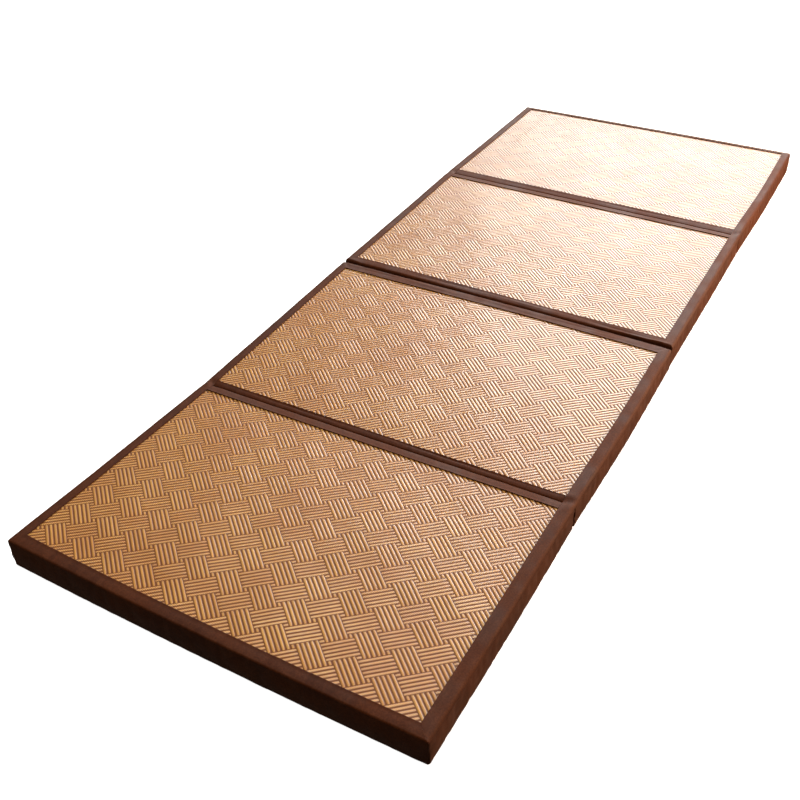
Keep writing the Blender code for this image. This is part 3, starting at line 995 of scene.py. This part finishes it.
def pad_rings(plot):
    """Rings of a pad from its underside up the wall and under the border and woven face. Each
    has its insets, its share of the border's top height, and its lift."""
    settings = bpy.context.scene.mat_pad
    edges = plot.edges()
    names = (LINE_EDGES[plot.near.name], "right", LINE_EDGES[plot.far.name], "left")
    foot = foot_rows(edges, names)
    rings = [([inset + UNDERSIDE_INSET for inset in foot[0][0]], [0.0] * 4, foot[0][1])]
    rings += [(insets, [0.0] * 4, heights) for insets, heights in foot]
    foot_in, foot_high = foot[-1]
    for share in WALL_SHARES:
        swell = settings.bulge * math.sin(math.pi * share)
        insets = [inset * (1 - share) - swell for inset in foot_in]
        lifts = [mix(high, -edge.roll - SEAT_GAP, share) for high, edge in zip(foot_high, edges)]
        rings.append((insets, [share] * 4, lifts))
    ledge = [-edge.roll - SEAT_GAP for edge in edges]
    depth = BORDER_THICKNESS + SEAT_GAP
    rings.append(([0.0] * 4, [1.0] * 4, ledge))
    rings.append(([depth] * 4, [1.0] * 4, ledge))
    inner = [edge.roll - depth for edge in edges]
    for degrees in RIM_ANGLES:
        angle = math.radians(degrees)
        insets = [edge.roll - radius * math.cos(angle) for edge, radius in zip(edges, inner)]
        lifts = [radius * math.sin(angle) - edge.roll for edge, radius in zip(edges, inner)]
        rings.append((insets, [1.0] * 4, lifts))
    rings.append((list(plot.bands()), [1.0] * 4, [-depth] * 4))
    return rings


def make_pad(number, plot, material):
    """The filled pad in its brown cover, closed under the border and the woven face."""
    ring = Ring(plot)
    settings = bpy.context.scene.mat_pad
    layers = []
    for insets, shares, lifts in pad_rings(plot):
        points, share = ring.all_sides(insets, shares)
        _, lift = ring.all_sides(insets, lifts)
        x, y = plot.place(points[:, 0], points[:, 1])
        z = share * border_top(x, y) + lift
        wall = np.sin(math.pi * np.clip(share, 0.0, 1.0)) * (share < 1.0)
        dent = settings.softness * wall * waves(CLOTH_WAVES, x * DENT_STRETCH + z, y * DENT_STRETCH + z)
        middle_x, middle_y = x.mean(), y.mean()
        away = np.stack([x - middle_x, y - middle_y], axis=-1)
        flat = np.abs(away) / np.array([WIDTH / 2, plot.length / 2])
        outward = np.sign(away) * (flat == flat.max(axis=-1, keepdims=True))
        x, y = x + outward[:, 0] * dent, y + outward[:, 1] * dent
        layers.append(np.stack([x, y, z], axis=-1))
    columns = len(layers[0])
    points = np.vstack(layers)
    faces = [tuple(face) for face in quads_between(len(layers), columns, wrap=True)]
    faces.append(tuple(range(columns))[::-1])
    faces.append(tuple(range(len(points) - columns, len(points))))
    return mesh_object(f"pad_{number}_cover", points, faces, material), columns


def settle(pad, columns):
    """Lets the cover cloth of a pad's walls swell and settle under the filling's pressure. It is
    held at the foot and at the ledge under the borders."""
    settings = bpy.context.scene.mat_pad
    places = np.array([vertex.co for vertex in pad.data.vertices])
    first, last = WALL_FIRST_ROW * columns, (WALL_LAST_ROW + 1) * columns
    rows = WALL_LAST_ROW - WALL_FIRST_ROW + 1
    quads = quads_between(rows, columns, wrap=True)
    wall = mesh_object("cover_wall", places[first:last], quads, pad.data.materials[0])
    held = wall.vertex_groups.new(name="held")
    held.add(list(range(columns)) + list(range((rows - 1) * columns, rows * columns)), 1.0, "REPLACE")
    cloth = wall.modifiers.new("cover", "CLOTH")
    cloth.settings.quality = SETTLE_QUALITY
    cloth.settings.vertex_group_mass = held.name
    cloth.settings.use_pressure = True
    cloth.settings.uniform_pressure_force = settings.pressure
    cloth.settings.shrink_min = -COVER_SLACK
    cloth.settings.effector_weights.gravity = 0.0
    cloth.point_cache.frame_start = 1
    cloth.point_cache.frame_end = SETTLE_FRAMES
    scene = bpy.context.scene
    for number in range(1, SETTLE_FRAMES + 1):
        scene.frame_set(number)
    evaluated = wall.evaluated_get(bpy.context.evaluated_depsgraph_get())
    found = np.array([vertex.co for vertex in evaluated.data.vertices])
    steps = found - places[first:last]
    lengths = np.maximum(np.linalg.norm(steps, axis=1, keepdims=True), TINY)
    steps *= settings.most_moved * np.tanh(lengths / settings.most_moved) / lengths
    for number, step in enumerate(steps, start=first):
        pad.data.vertices[number].co += Vector(step)
    scene.frame_set(1)
    bpy.data.objects.remove(wall, do_unlink=True)
    pad.data.update()


class MAT_OT_pads(bpy.types.Operator):
    """Make the four filled pads in their brown cover cloth"""

    bl_idname = "mat.pads"
    bl_label = "Pads"

    def execute(self, context):
        cloth = shared_material("brown_cloth_finish", brown_cloth)
        for number, plot in enumerate(PANELS, start=1):
            made, columns = make_pad(number, plot, cloth)
            settle(made, columns)
            finish_cloth(made, f"pad_{number}")
        return {"FINISHED"}


# The hinge strip: the line it lies under, points along and across it, the height of its soft
# waves, and how far its top stays below its full thickness
HINGE_LINE = LINES[2]
HINGE_COLUMNS = 60
HINGE_ROWS = 7
HINGE_WAVE_HEIGHT = 0.12 * MM
HINGE_TOP_GAP = 0.15 * MM


class MAT_OT_hinge_strip(bpy.types.Operator):
    """Lay the strip of cover cloth under the middle seam"""

    bl_idname = "mat.hinge_strip"
    bl_label = "Hinge strip"

    def execute(self, context):
        cloth = shared_material("brown_cloth_finish", brown_cloth)
        low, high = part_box("hinge_strip_23")
        x = np.linspace(low.x, high.x, HINGE_COLUMNS)[None, :]
        reach = np.linspace(-HINGE_REACH, HINGE_REACH, HINGE_ROWS)[:, None]
        y = line_y(HINGE_LINE, x) + reach
        x = np.broadcast_to(x, y.shape)
        soft = HINGE_WAVE_HEIGHT * waves(CLOTH_WAVES, x, y)
        top = np.stack([x, y, HINGE_THICKNESS - HINGE_TOP_GAP + soft], axis=-1)
        bottom = np.stack([x, y, np.zeros_like(x)], axis=-1)
        made = closed_sheet("hinge_strip_23_cloth", top, bottom, cloth)
        finish_cloth(made, "hinge_strip_23")
        return {"FINISHED"}


# Woven faces

# How far a woven face runs in under the borders
WEAVE_TUCK = 1.5 * MM
# The ground sheet under the cords: how far it lies below the border's top, its thickness, and its
# points across and along a panel
GROUND_DROP = 1.35 * MM
GROUND_THICKNESS = 0.8 * MM
GROUND_COLUMNS = 97
GROUND_ROWS = 61
# How soon a face's slow waves reach their full height from its rim
WAVE_ONSET = 3
# The rectangle that the flat weave is made on, before it is laid on a panel
FIELD_WIDTH = WIDTH - LEFT_BAND - RIGHT_BAND
FIELD_LENGTH = 415 * MM
# Cells of the weave beyond those that fill the rectangle, so its edges are full
SPARE_CELLS = 3
# Where a block of cords that leans to the left has its middle, from each face's front left corner
Phase = namedtuple("Phase", "across along")
WEAVE_PHASES = (
    Phase(142.9 * MM, 316.4 * MM),
    Phase(155.5 * MM, 283.0 * MM),
    Phase(130.6 * MM, 293.4 * MM),
    Phase(108.1 * MM, 333.4 * MM),
)


def face_height(across, along, x, y):
    """Ground height of a woven face: the border's top, its crown and its slow waves."""
    u = 2 * across - 1
    v = 2 * along - 1
    inside = np.clip((1 - u * u) * (1 - v * v), 0.0, 1.0)
    soft = FACE_WAVE_HEIGHT * waves(FACE_WAVES, x, y) * np.minimum(1.0, inside * WAVE_ONSET)
    return border_top(x, y) + FACE_CROWN * inside + soft - GROUND_DROP


def make_ground(number, plot, material):
    """The thin sheet that the bamboo cords are woven into."""
    across, along = np.meshgrid(np.linspace(0, 1, GROUND_COLUMNS), np.linspace(0, 1, GROUND_ROWS))
    x, y = plot.field(across, along, -WEAVE_TUCK)
    z = face_height(across, along, x, y)
    top = np.stack([x, y, z], axis=-1)
    bottom = top - np.array([0.0, 0.0, GROUND_THICKNESS])
    return closed_sheet(f"face_{number}_ground", top, bottom, material)


def split_vector(tree, vector):
    made = tree.nodes.new("ShaderNodeSeparateXYZ")
    tree.links.new(vector, made.inputs[0])
    return made.outputs


def join_vector(tree, x, y, z):
    made = tree.nodes.new("ShaderNodeCombineXYZ")
    for number, value in enumerate((x, y, z)):
        link_in(tree, made.inputs[number], value)
    return made.outputs[0]


def position_of(tree):
    return tree.nodes.new("GeometryNodeInputPosition").outputs[0]


def store_float(tree, geometry, name, value):
    made = tree.nodes.new("GeometryNodeStoreNamedAttribute")
    made.data_type = "FLOAT"
    made.domain = "POINT"
    feed(tree, made, Geometry=geometry, Name=name, Value=value)
    return made.outputs["Geometry"]


def moved(tree, geometry, place):
    made = named_node(tree, "GeometryNodeSetPosition", Geometry=geometry, Position=place)
    return made.outputs["Geometry"]


# A cord space is the room that one cord takes in its block. A block is seven spaces long and
# five wide, and a dot is one space long.
CORD_SPACES = 7
CORDS_IN_BLOCK = 5
DOT_SPACES = 1
CORD_ACROSS_POINTS = 7
CORD_ALONG_POINTS = 13
DOT_ALONG_POINTS = 5
# The end of a cord: its length in cord spaces, and how much of its width and height it loses
END_SINK = 0.55
END_NARROWING = 0.22
END_DROP = 0.75
# The arch over a cord: the power of its flanks, and its height in the middle, squared
ARCH_POWER = 3.2
ARCH_TOP = 1.02


def cord_nodes(tree, given, spaces, along_points):
    """One cord along X in cord spaces: an arch whose ends narrow and sink under the next block."""
    grid = named_node(
        tree, "GeometryNodeMeshGrid",
        Size_X=spaces, Size_Y=1.0, Vertices_X=along_points, Vertices_Y=CORD_ACROSS_POINTS,
    )
    x, y, _ = split_vector(tree, position_of(tree))
    space_mm = given["Space in mm"]
    along = store_float(tree, grid.outputs["Mesh"], "along", math_node(tree, "MULTIPLY", x, space_mm))
    from_middle = math_node(tree, "MULTIPLY", y, 2.0)
    both = store_float(tree, along, "across", from_middle)
    from_end = math_node(tree, "SUBTRACT", spaces / 2, math_node(tree, "ABSOLUTE", x))
    ending = range_node(tree, from_end, 0.0, END_SINK * min(1.0, spaces), 1.0, 0.0)
    slim = math_node(tree, "MULTIPLY_ADD", ending, -END_NARROWING, 1.0)
    width = math_node(tree, "MULTIPLY", given["Cord Width"], slim)
    side = math_node(tree, "POWER", math_node(tree, "ABSOLUTE", from_middle), ARCH_POWER)
    arch = math_node(tree, "SQRT", math_node(tree, "SUBTRACT", ARCH_TOP, side))
    sink = math_node(tree, "MULTIPLY_ADD", ending, -END_DROP, 1.0)
    height = math_node(tree, "MULTIPLY", math_node(tree, "MULTIPLY", arch, sink), given["Cord Height"])
    place = join_vector(tree, x, math_node(tree, "MULTIPLY", y, width), height)
    return moved(tree, both, place)


def placed_blocks(tree, points, geometry, offset, turned):
    """A block of cords on every point of the weave, moved and turned."""
    shifted = named_node(
        tree, "GeometryNodeSetPosition", Geometry=points, Offset=(*offset, 0.0),
    )
    turn = (0.0, 0.0, math.pi / 2 if turned else 0.0)
    made = named_node(
        tree, "GeometryNodeInstanceOnPoints",
        Points=shifted.outputs[0], Instance=geometry, Rotation=turn,
    )
    return made.outputs["Instances"]


def joined(tree, *parts):
    made = tree.nodes.new("GeometryNodeJoinGeometry")
    for part in reversed(parts):
        tree.links.new(part, made.inputs[0])
    return made.outputs[0]


def outside(tree, low_x, high_x, low_y, high_y):
    """Which places lie outside a rectangle."""
    x, y, _ = split_vector(tree, position_of(tree))
    tests = [("LESS_THAN", x, low_x), ("GREATER_THAN", x, high_x)]
    tests += [("LESS_THAN", y, low_y), ("GREATER_THAN", y, high_y)]
    total = None
    for operation, value, limit in tests:
        found = math_node(tree, operation, value, limit)
        total = found if total is None else math_node(tree, "MAXIMUM", total, found)
    return total


def weave_tree():
    """Basket weave of blocks of five cords with a dot in each gap, laid on a rectangle."""
    name = "basket_weave"
    tree = bpy.data.node_groups.get(name)
    if tree:
        return tree
    tree = bpy.data.node_groups.new(name, "GeometryNodeTree")
    floats = (
        "Cell Across", "Cell Along", "Phase Across", "Phase Along", "Field Width", "Field Length",
        "Tuck", "Cord Width", "Cord Height", "Space in mm",
    )
    inputs = [("Geometry", "NodeSocketGeometry", None)]
    inputs += [(socket, "NodeSocketFloat", 0.1) for socket in floats]
    inputs += [("Columns", "NodeSocketInt", 10), ("Rows", "NodeSocketInt", 10)]
    inputs += [("Seed", "NodeSocketInt", 0), ("Material", "NodeSocketMaterial", None)]
    given, result = group_sockets(tree, inputs, [("Geometry", "NodeSocketGeometry")])

    cord = cord_nodes(tree, given, CORD_SPACES, CORD_ALONG_POINTS)
    dot = cord_nodes(tree, given, DOT_SPACES, DOT_ALONG_POINTS)
    line = named_node(
        tree, "GeometryNodeMeshLine", Count=CORDS_IN_BLOCK,
        Start_Location=(0.0, -(CORDS_IN_BLOCK - 1) / 2, 0.0), Offset=(0.0, 1.0, 0.0),
    )
    block = named_node(tree, "GeometryNodeInstanceOnPoints", Points=line.outputs[0], Instance=cord)

    # Points at the middles of the blocks. Cord spaces run along the two directions of the cords,
    # so a step of one cell across is half a repeat along both of them.
    columns, rows = given["Columns"], given["Rows"]
    size_x = math_node(tree, "SUBTRACT", columns, 1.0)
    size_y = math_node(tree, "SUBTRACT", rows, 1.0)
    grid = named_node(
        tree, "GeometryNodeMeshGrid",
        Size_X=size_x, Size_Y=size_y, Vertices_X=columns, Vertices_Y=rows,
    )
    i, j, _ = split_vector(tree, position_of(tree))
    half_repeat = (CORD_SPACES + CORDS_IN_BLOCK) / 2
    a = math_node(tree, "MULTIPLY", math_node(tree, "SUBTRACT", i, j), half_repeat)
    b = math_node(tree, "MULTIPLY", math_node(tree, "ADD", i, j), half_repeat)
    points = moved(tree, grid.outputs["Mesh"], join_vector(tree, a, b, 0.0))
    quarter = half_repeat / 2
    parts = [
        placed_blocks(tree, points, block.outputs[0], (0.0, 0.0), False),
        placed_blocks(tree, points, block.outputs[0], (0.0, half_repeat), True),
        placed_blocks(tree, points, dot, (quarter, quarter), False),
        placed_blocks(tree, points, dot, (-quarter, quarter), True),
    ]
    real = named_node(tree, "GeometryNodeRealizeInstances", Geometry=joined(tree, *parts))

    island = tree.nodes.new("GeometryNodeInputMeshIsland").outputs["Island Index"]
    chance = tree.nodes.new("FunctionNodeRandomValue")
    chance.data_type = "FLOAT"
    chance.inputs[2].default_value = -1.0
    chance.inputs[3].default_value = 1.0
    feed(tree, chance, ID=island, Seed=given["Seed"])
    toned = store_float(tree, real.outputs[0], "tone", chance.outputs[1])

    # Cord spaces become places on the face
    a, b, z = split_vector(tree, position_of(tree))
    per_space = 1.0 / (2 * half_repeat)
    across = math_node(tree, "MULTIPLY", math_node(tree, "ADD", a, b), given["Cell Across"])
    along = math_node(tree, "MULTIPLY", math_node(tree, "SUBTRACT", b, a), given["Cell Along"])
    x = math_node(tree, "MULTIPLY_ADD", across, per_space, given["Phase Across"])
    y = math_node(tree, "MULTIPLY_ADD", along, per_space, given["Phase Along"])
    laid = moved(tree, toned, join_vector(tree, x, y, z))

    low = math_node(tree, "MULTIPLY", given["Tuck"], -1.0)
    high_x = math_node(tree, "ADD", given["Field Width"], given["Tuck"])
    high_y = math_node(tree, "ADD", given["Field Length"], given["Tuck"])
    beyond = outside(tree, low, high_x, low, high_y)
    cut = named_node(tree, "GeometryNodeDeleteGeometry", Geometry=laid, Selection=beyond)
    cut.domain = "FACE"
    x, y, z = split_vector(tree, position_of(tree))
    x = math_node(tree, "MINIMUM", math_node(tree, "MAXIMUM", x, low), high_x)
    y = math_node(tree, "MINIMUM", math_node(tree, "MAXIMUM", y, low), high_y)
    kept = moved(tree, cut.outputs[0], join_vector(tree, x, y, z))

    last = named_node(tree, "GeometryNodeRealizeInstances", Geometry=kept)
    painted = named_node(
        tree, "GeometryNodeSetMaterial", Geometry=last.outputs[0], Material=given["Material"]
    )
    tree.links.new(painted.outputs[0], result["Geometry"])
    return tree


def cells_to_middle(size, phase, cell, count):
    """Whole cells from a block's own place to the middle of the field. The grid of blocks is
    centred on zero, so an even count stands half a cell aside."""
    offset = 0.5 if count % 2 == 0 else 0.0
    return round((size / 2 - phase) / cell) + offset


def woven_mesh(name, phase, material):
    """The flat weave of one face as a plain mesh, from the basket weave tree."""
    settings = bpy.context.scene.mat_weave
    host = bpy.data.objects.new(name, bpy.data.meshes.new(name))
    bpy.context.scene.collection.objects.link(host)
    modifier = host.modifiers.new("weave", "NODES")
    modifier.node_group = weave_tree()
    columns = math.ceil(FIELD_WIDTH / settings.cell_across) + SPARE_CELLS
    rows = math.ceil(FIELD_LENGTH / settings.cell_along) + SPARE_CELLS
    cells_across = cells_to_middle(FIELD_WIDTH, phase.across, settings.cell_across, columns)
    cells_along = cells_to_middle(FIELD_LENGTH, phase.along, settings.cell_along, rows)
    space = math.hypot(settings.cell_across, settings.cell_along) / (CORD_SPACES + CORDS_IN_BLOCK)
    values = {
        "Cell Across": settings.cell_across,
        "Cell Along": settings.cell_along,
        "Phase Across": phase.across + settings.cell_across * cells_across,
        "Phase Along": phase.along + settings.cell_along * cells_along,
        "Field Width": FIELD_WIDTH,
        "Field Length": FIELD_LENGTH,
        "Tuck": WEAVE_TUCK,
        "Cord Width": settings.cord_width,
        "Cord Height": settings.cord_height,
        "Space in mm": space / MM,
        "Columns": columns,
        "Rows": rows,
        "Seed": settings.seed,
        "Material": material,
    }
    for item in modifier.node_group.interface.items_tree:
        if item.item_type == "SOCKET" and item.in_out == "INPUT" and item.name in values:
            modifier[item.identifier] = values[item.name]
    evaluated = host.evaluated_get(bpy.context.evaluated_depsgraph_get())
    mesh = bpy.data.meshes.new_from_object(evaluated)
    host.modifiers.remove(modifier)
    flat = host.data
    host.data = mesh
    bpy.data.meshes.remove(flat)
    return host


def lay_weave(weave, plot):
    """Lays a flat weave on its panel's crowned face."""
    mesh = weave.data
    points = np.empty(len(mesh.vertices) * 3, np.float32)
    mesh.vertices.foreach_get("co", points)
    points = points.reshape(-1, 3).astype(float)
    reach_x = FIELD_WIDTH + 2 * WEAVE_TUCK
    reach_y = FIELD_LENGTH + 2 * WEAVE_TUCK
    across = (points[:, 0] + WEAVE_TUCK) / reach_x
    along = (points[:, 1] + WEAVE_TUCK) / reach_y
    x, y = plot.field(across, along, -WEAVE_TUCK)
    z = face_height(across, along, x, y) + points[:, 2]
    laid = np.stack([x, y, z], axis=-1).astype(np.float32)
    mesh.vertices.foreach_set("co", laid.ravel())
    mesh.update()
    mesh.shade_smooth()


class MAT_OT_woven_faces(bpy.types.Operator):
    """Weave the four bamboo faces from cords and lay them on the pads"""

    bl_idname = "mat.woven_faces"
    bl_label = "Woven faces"

    def execute(self, context):
        ground = shared_material("bamboo_ground_finish", bamboo_ground)
        cords = shared_material("woven_bamboo_finish", bamboo_cords)
        for number, (plot, phase) in enumerate(zip(PANELS, WEAVE_PHASES), start=1):
            sheet = make_ground(number, plot, ground)
            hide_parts(f"face_{number}")
            weave = woven_mesh(f"face_{number}_cords", phase, cords)
            lay_weave(weave, plot)
            for piece in (sheet, weave):
                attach(piece, BODY)
        return {"FINISHED"}


# Stage

# The camera, solved from the mat's corners and seams: the point it looks at, and its direction,
# distance and roll
CAMERA_TARGET = Vector((-40.3 * MM, -301.4 * MM, 0.0))
CAMERA_AZIMUTH = 30.896
CAMERA_ELEVATION = 37.625
CAMERA_DISTANCE = 1751.0 * MM
CAMERA_ROLL = -2.078
SENSOR_WIDTH = 36.0

# Soft lights: direction they come from in degrees (0 is the back of the mat, positive is to its
# right), height in degrees, distance, size, watts, colour and kind. A whole light does all that a
# light does, a shine light only shows in what is glossy, and a soft light doesn't show there.
Light = namedtuple("Light", "name azimuth elevation distance width height power colour kind")
LIGHTS = (
    Light("back_window", -6.0, 24.0, 4.2, 2.6, 1.5, 74.0, (1.0, 0.95, 0.88), "whole"),
    Light("window_shine", -6.0, 32.0, 4.4, 3.0, 2.1, 295.0, (0.78, 0.91, 1.0), "shine"),
    Light("overhead", -20.0, 75.0, 3.0, 2.6, 2.6, 88.0, (1.0, 0.95, 0.88), "soft"),
    Light("front_fill", 165.0, 58.0, 3.4, 2.2, 2.2, 28.0, (1.0, 0.93, 0.86), "soft"),
    Light("right_glow", 58.0, 14.0, 1.8, 1.0, 0.6, 58.0, (1.0, 0.66, 0.42), "whole"),
)
WORLD_COLOUR = (1.0, 0.90, 0.80)
WORLD_STRENGTH = 0.05


def towards(azimuth, elevation):
    """The direction of something seen at a compass angle from the mat's back, and a height."""
    a, e = math.radians(azimuth), math.radians(elevation)
    return Vector((math.sin(a) * math.cos(e), math.cos(a) * math.cos(e), math.sin(e)))


def place_light(light):
    data = bpy.data.lights.new(light.name, "AREA")
    data.shape = "RECTANGLE"
    data.size = light.width
    data.size_y = light.height
    data.energy = light.power
    data.color = light.colour
    made = bpy.data.objects.new(light.name, data)
    direction = towards(light.azimuth, light.elevation)
    made.location = direction * light.distance
    made.rotation_euler = direction.to_track_quat("Z", "Y").to_euler()
    made.visible_diffuse = light.kind != "shine"
    made.visible_glossy = light.kind != "soft"
    bpy.context.scene.collection.objects.link(made)


def place_camera(lens):
    azimuth, elevation = math.radians(CAMERA_AZIMUTH), math.radians(CAMERA_ELEVATION)
    back = Vector((
        math.sin(azimuth) * math.cos(elevation),
        -math.cos(azimuth) * math.cos(elevation),
        math.sin(elevation),
    ))
    right = Vector((math.cos(azimuth), math.sin(azimuth), 0.0))
    upright = back.cross(right)
    level = Matrix((right, upright, back)).transposed()
    roll = Matrix.Rotation(math.radians(CAMERA_ROLL), 3, "Z")
    data = bpy.data.cameras.new("camera")
    data.lens = lens
    data.sensor_width = SENSOR_WIDTH
    made = bpy.data.objects.new("camera", data)
    made.matrix_world = (level @ roll).to_4x4()
    made.location = CAMERA_TARGET + back * CAMERA_DISTANCE
    bpy.context.scene.collection.objects.link(made)
    bpy.context.scene.camera = made


def floor_material():
    """Plain white floor with its own soft glow, so the mat stands on clean white."""
    made, tree, shader, where = new_material("plain_floor")
    tone = noise_node(tree, where, 0.8, 2.0)
    white = mix_colour(tree, tone, (0.90, 0.90, 0.90, 1.0), (0.93, 0.93, 0.93, 1.0))
    feed(
        tree, shader, Base_Color=white, Roughness=0.9,
        Emission_Color=(1.0, 1.0, 1.0, 1.0), Emission_Strength=0.85,
    )
    return made


class MAT_OT_stage(bpy.types.Operator):
    """Set the plain floor, the soft studio light and the camera"""

    bl_idname = "mat.stage"
    bl_label = "Stage"

    def execute(self, context):
        scene = context.scene
        half = scene.mat_stage.floor_size / 2
        points = [(-half, -half, 0.0), (half, -half, 0.0), (half, half, 0.0), (-half, half, 0.0)]
        floor = mesh_object("floor", points, [(0, 1, 2, 3)], floor_material())
        floor.visible_diffuse = False
        floor.visible_glossy = False
        for light in LIGHTS:
            place_light(light)
        world = bpy.data.worlds.new("studio")
        world.use_nodes = True
        background = world.node_tree.nodes["Background"]
        background.inputs["Color"].default_value = opaque(WORLD_COLOUR)
        background.inputs["Strength"].default_value = WORLD_STRENGTH
        scene.world = world
        scene.view_settings.view_transform = "Standard"
        place_camera(scene.mat_stage.lens)
        return {"FINISHED"}


class MAT_PT_panel(bpy.types.Panel):
    """Lists the steps that build the mat"""

    bl_label = "Folding bamboo mat"
    bl_idname = "MAT_PT_panel"
    bl_space_type = "VIEW_3D"
    bl_region_type = "UI"
    bl_category = "Mat"

    def draw(self, context):
        layout = self.layout
        for settings, operators in PANEL_ROWS:
            box = layout.box()
            group = getattr(context.scene, settings)
            for name in group.__annotations__:
                box.prop(group, name)
            for operator in operators:
                box.operator(operator.bl_idname)


SETTINGS = {
    "mat_pad": MatPadSettings,
    "mat_cloth": MatClothSettings,
    "mat_weave": MatWeaveSettings,
    "mat_stage": MatStageSettings,
}
PANEL_ROWS = (
    ("mat_pad", (MAT_OT_pads,)),
    ("mat_cloth", (MAT_OT_cross_borders, MAT_OT_side_borders, MAT_OT_hinge_strip)),
    ("mat_weave", (MAT_OT_woven_faces,)),
    ("mat_stage", (MAT_OT_stage,)),
)
OPERATORS = [operator for _, operators in PANEL_ROWS for operator in operators]


def register():
    for name, group in SETTINGS.items():
        bpy.utils.register_class(group)
        setattr(bpy.types.Scene, name, PointerProperty(type=group))
    for operator in OPERATORS:
        bpy.utils.register_class(operator)
    bpy.utils.register_class(MAT_PT_panel)


def unregister():
    bpy.utils.unregister_class(MAT_PT_panel)
    for operator in reversed(OPERATORS):
        bpy.utils.unregister_class(operator)
    for name, group in SETTINGS.items():
        delattr(bpy.types.Scene, name)
        bpy.utils.unregister_class(group)


def main():
    register()
    bpy.ops.mat.pads()
    bpy.ops.mat.woven_faces()
    bpy.ops.mat.cross_borders()
    bpy.ops.mat.side_borders()
    bpy.ops.mat.hinge_strip()
    bpy.ops.mat.stage()


if __name__ == "__main__":
    main()
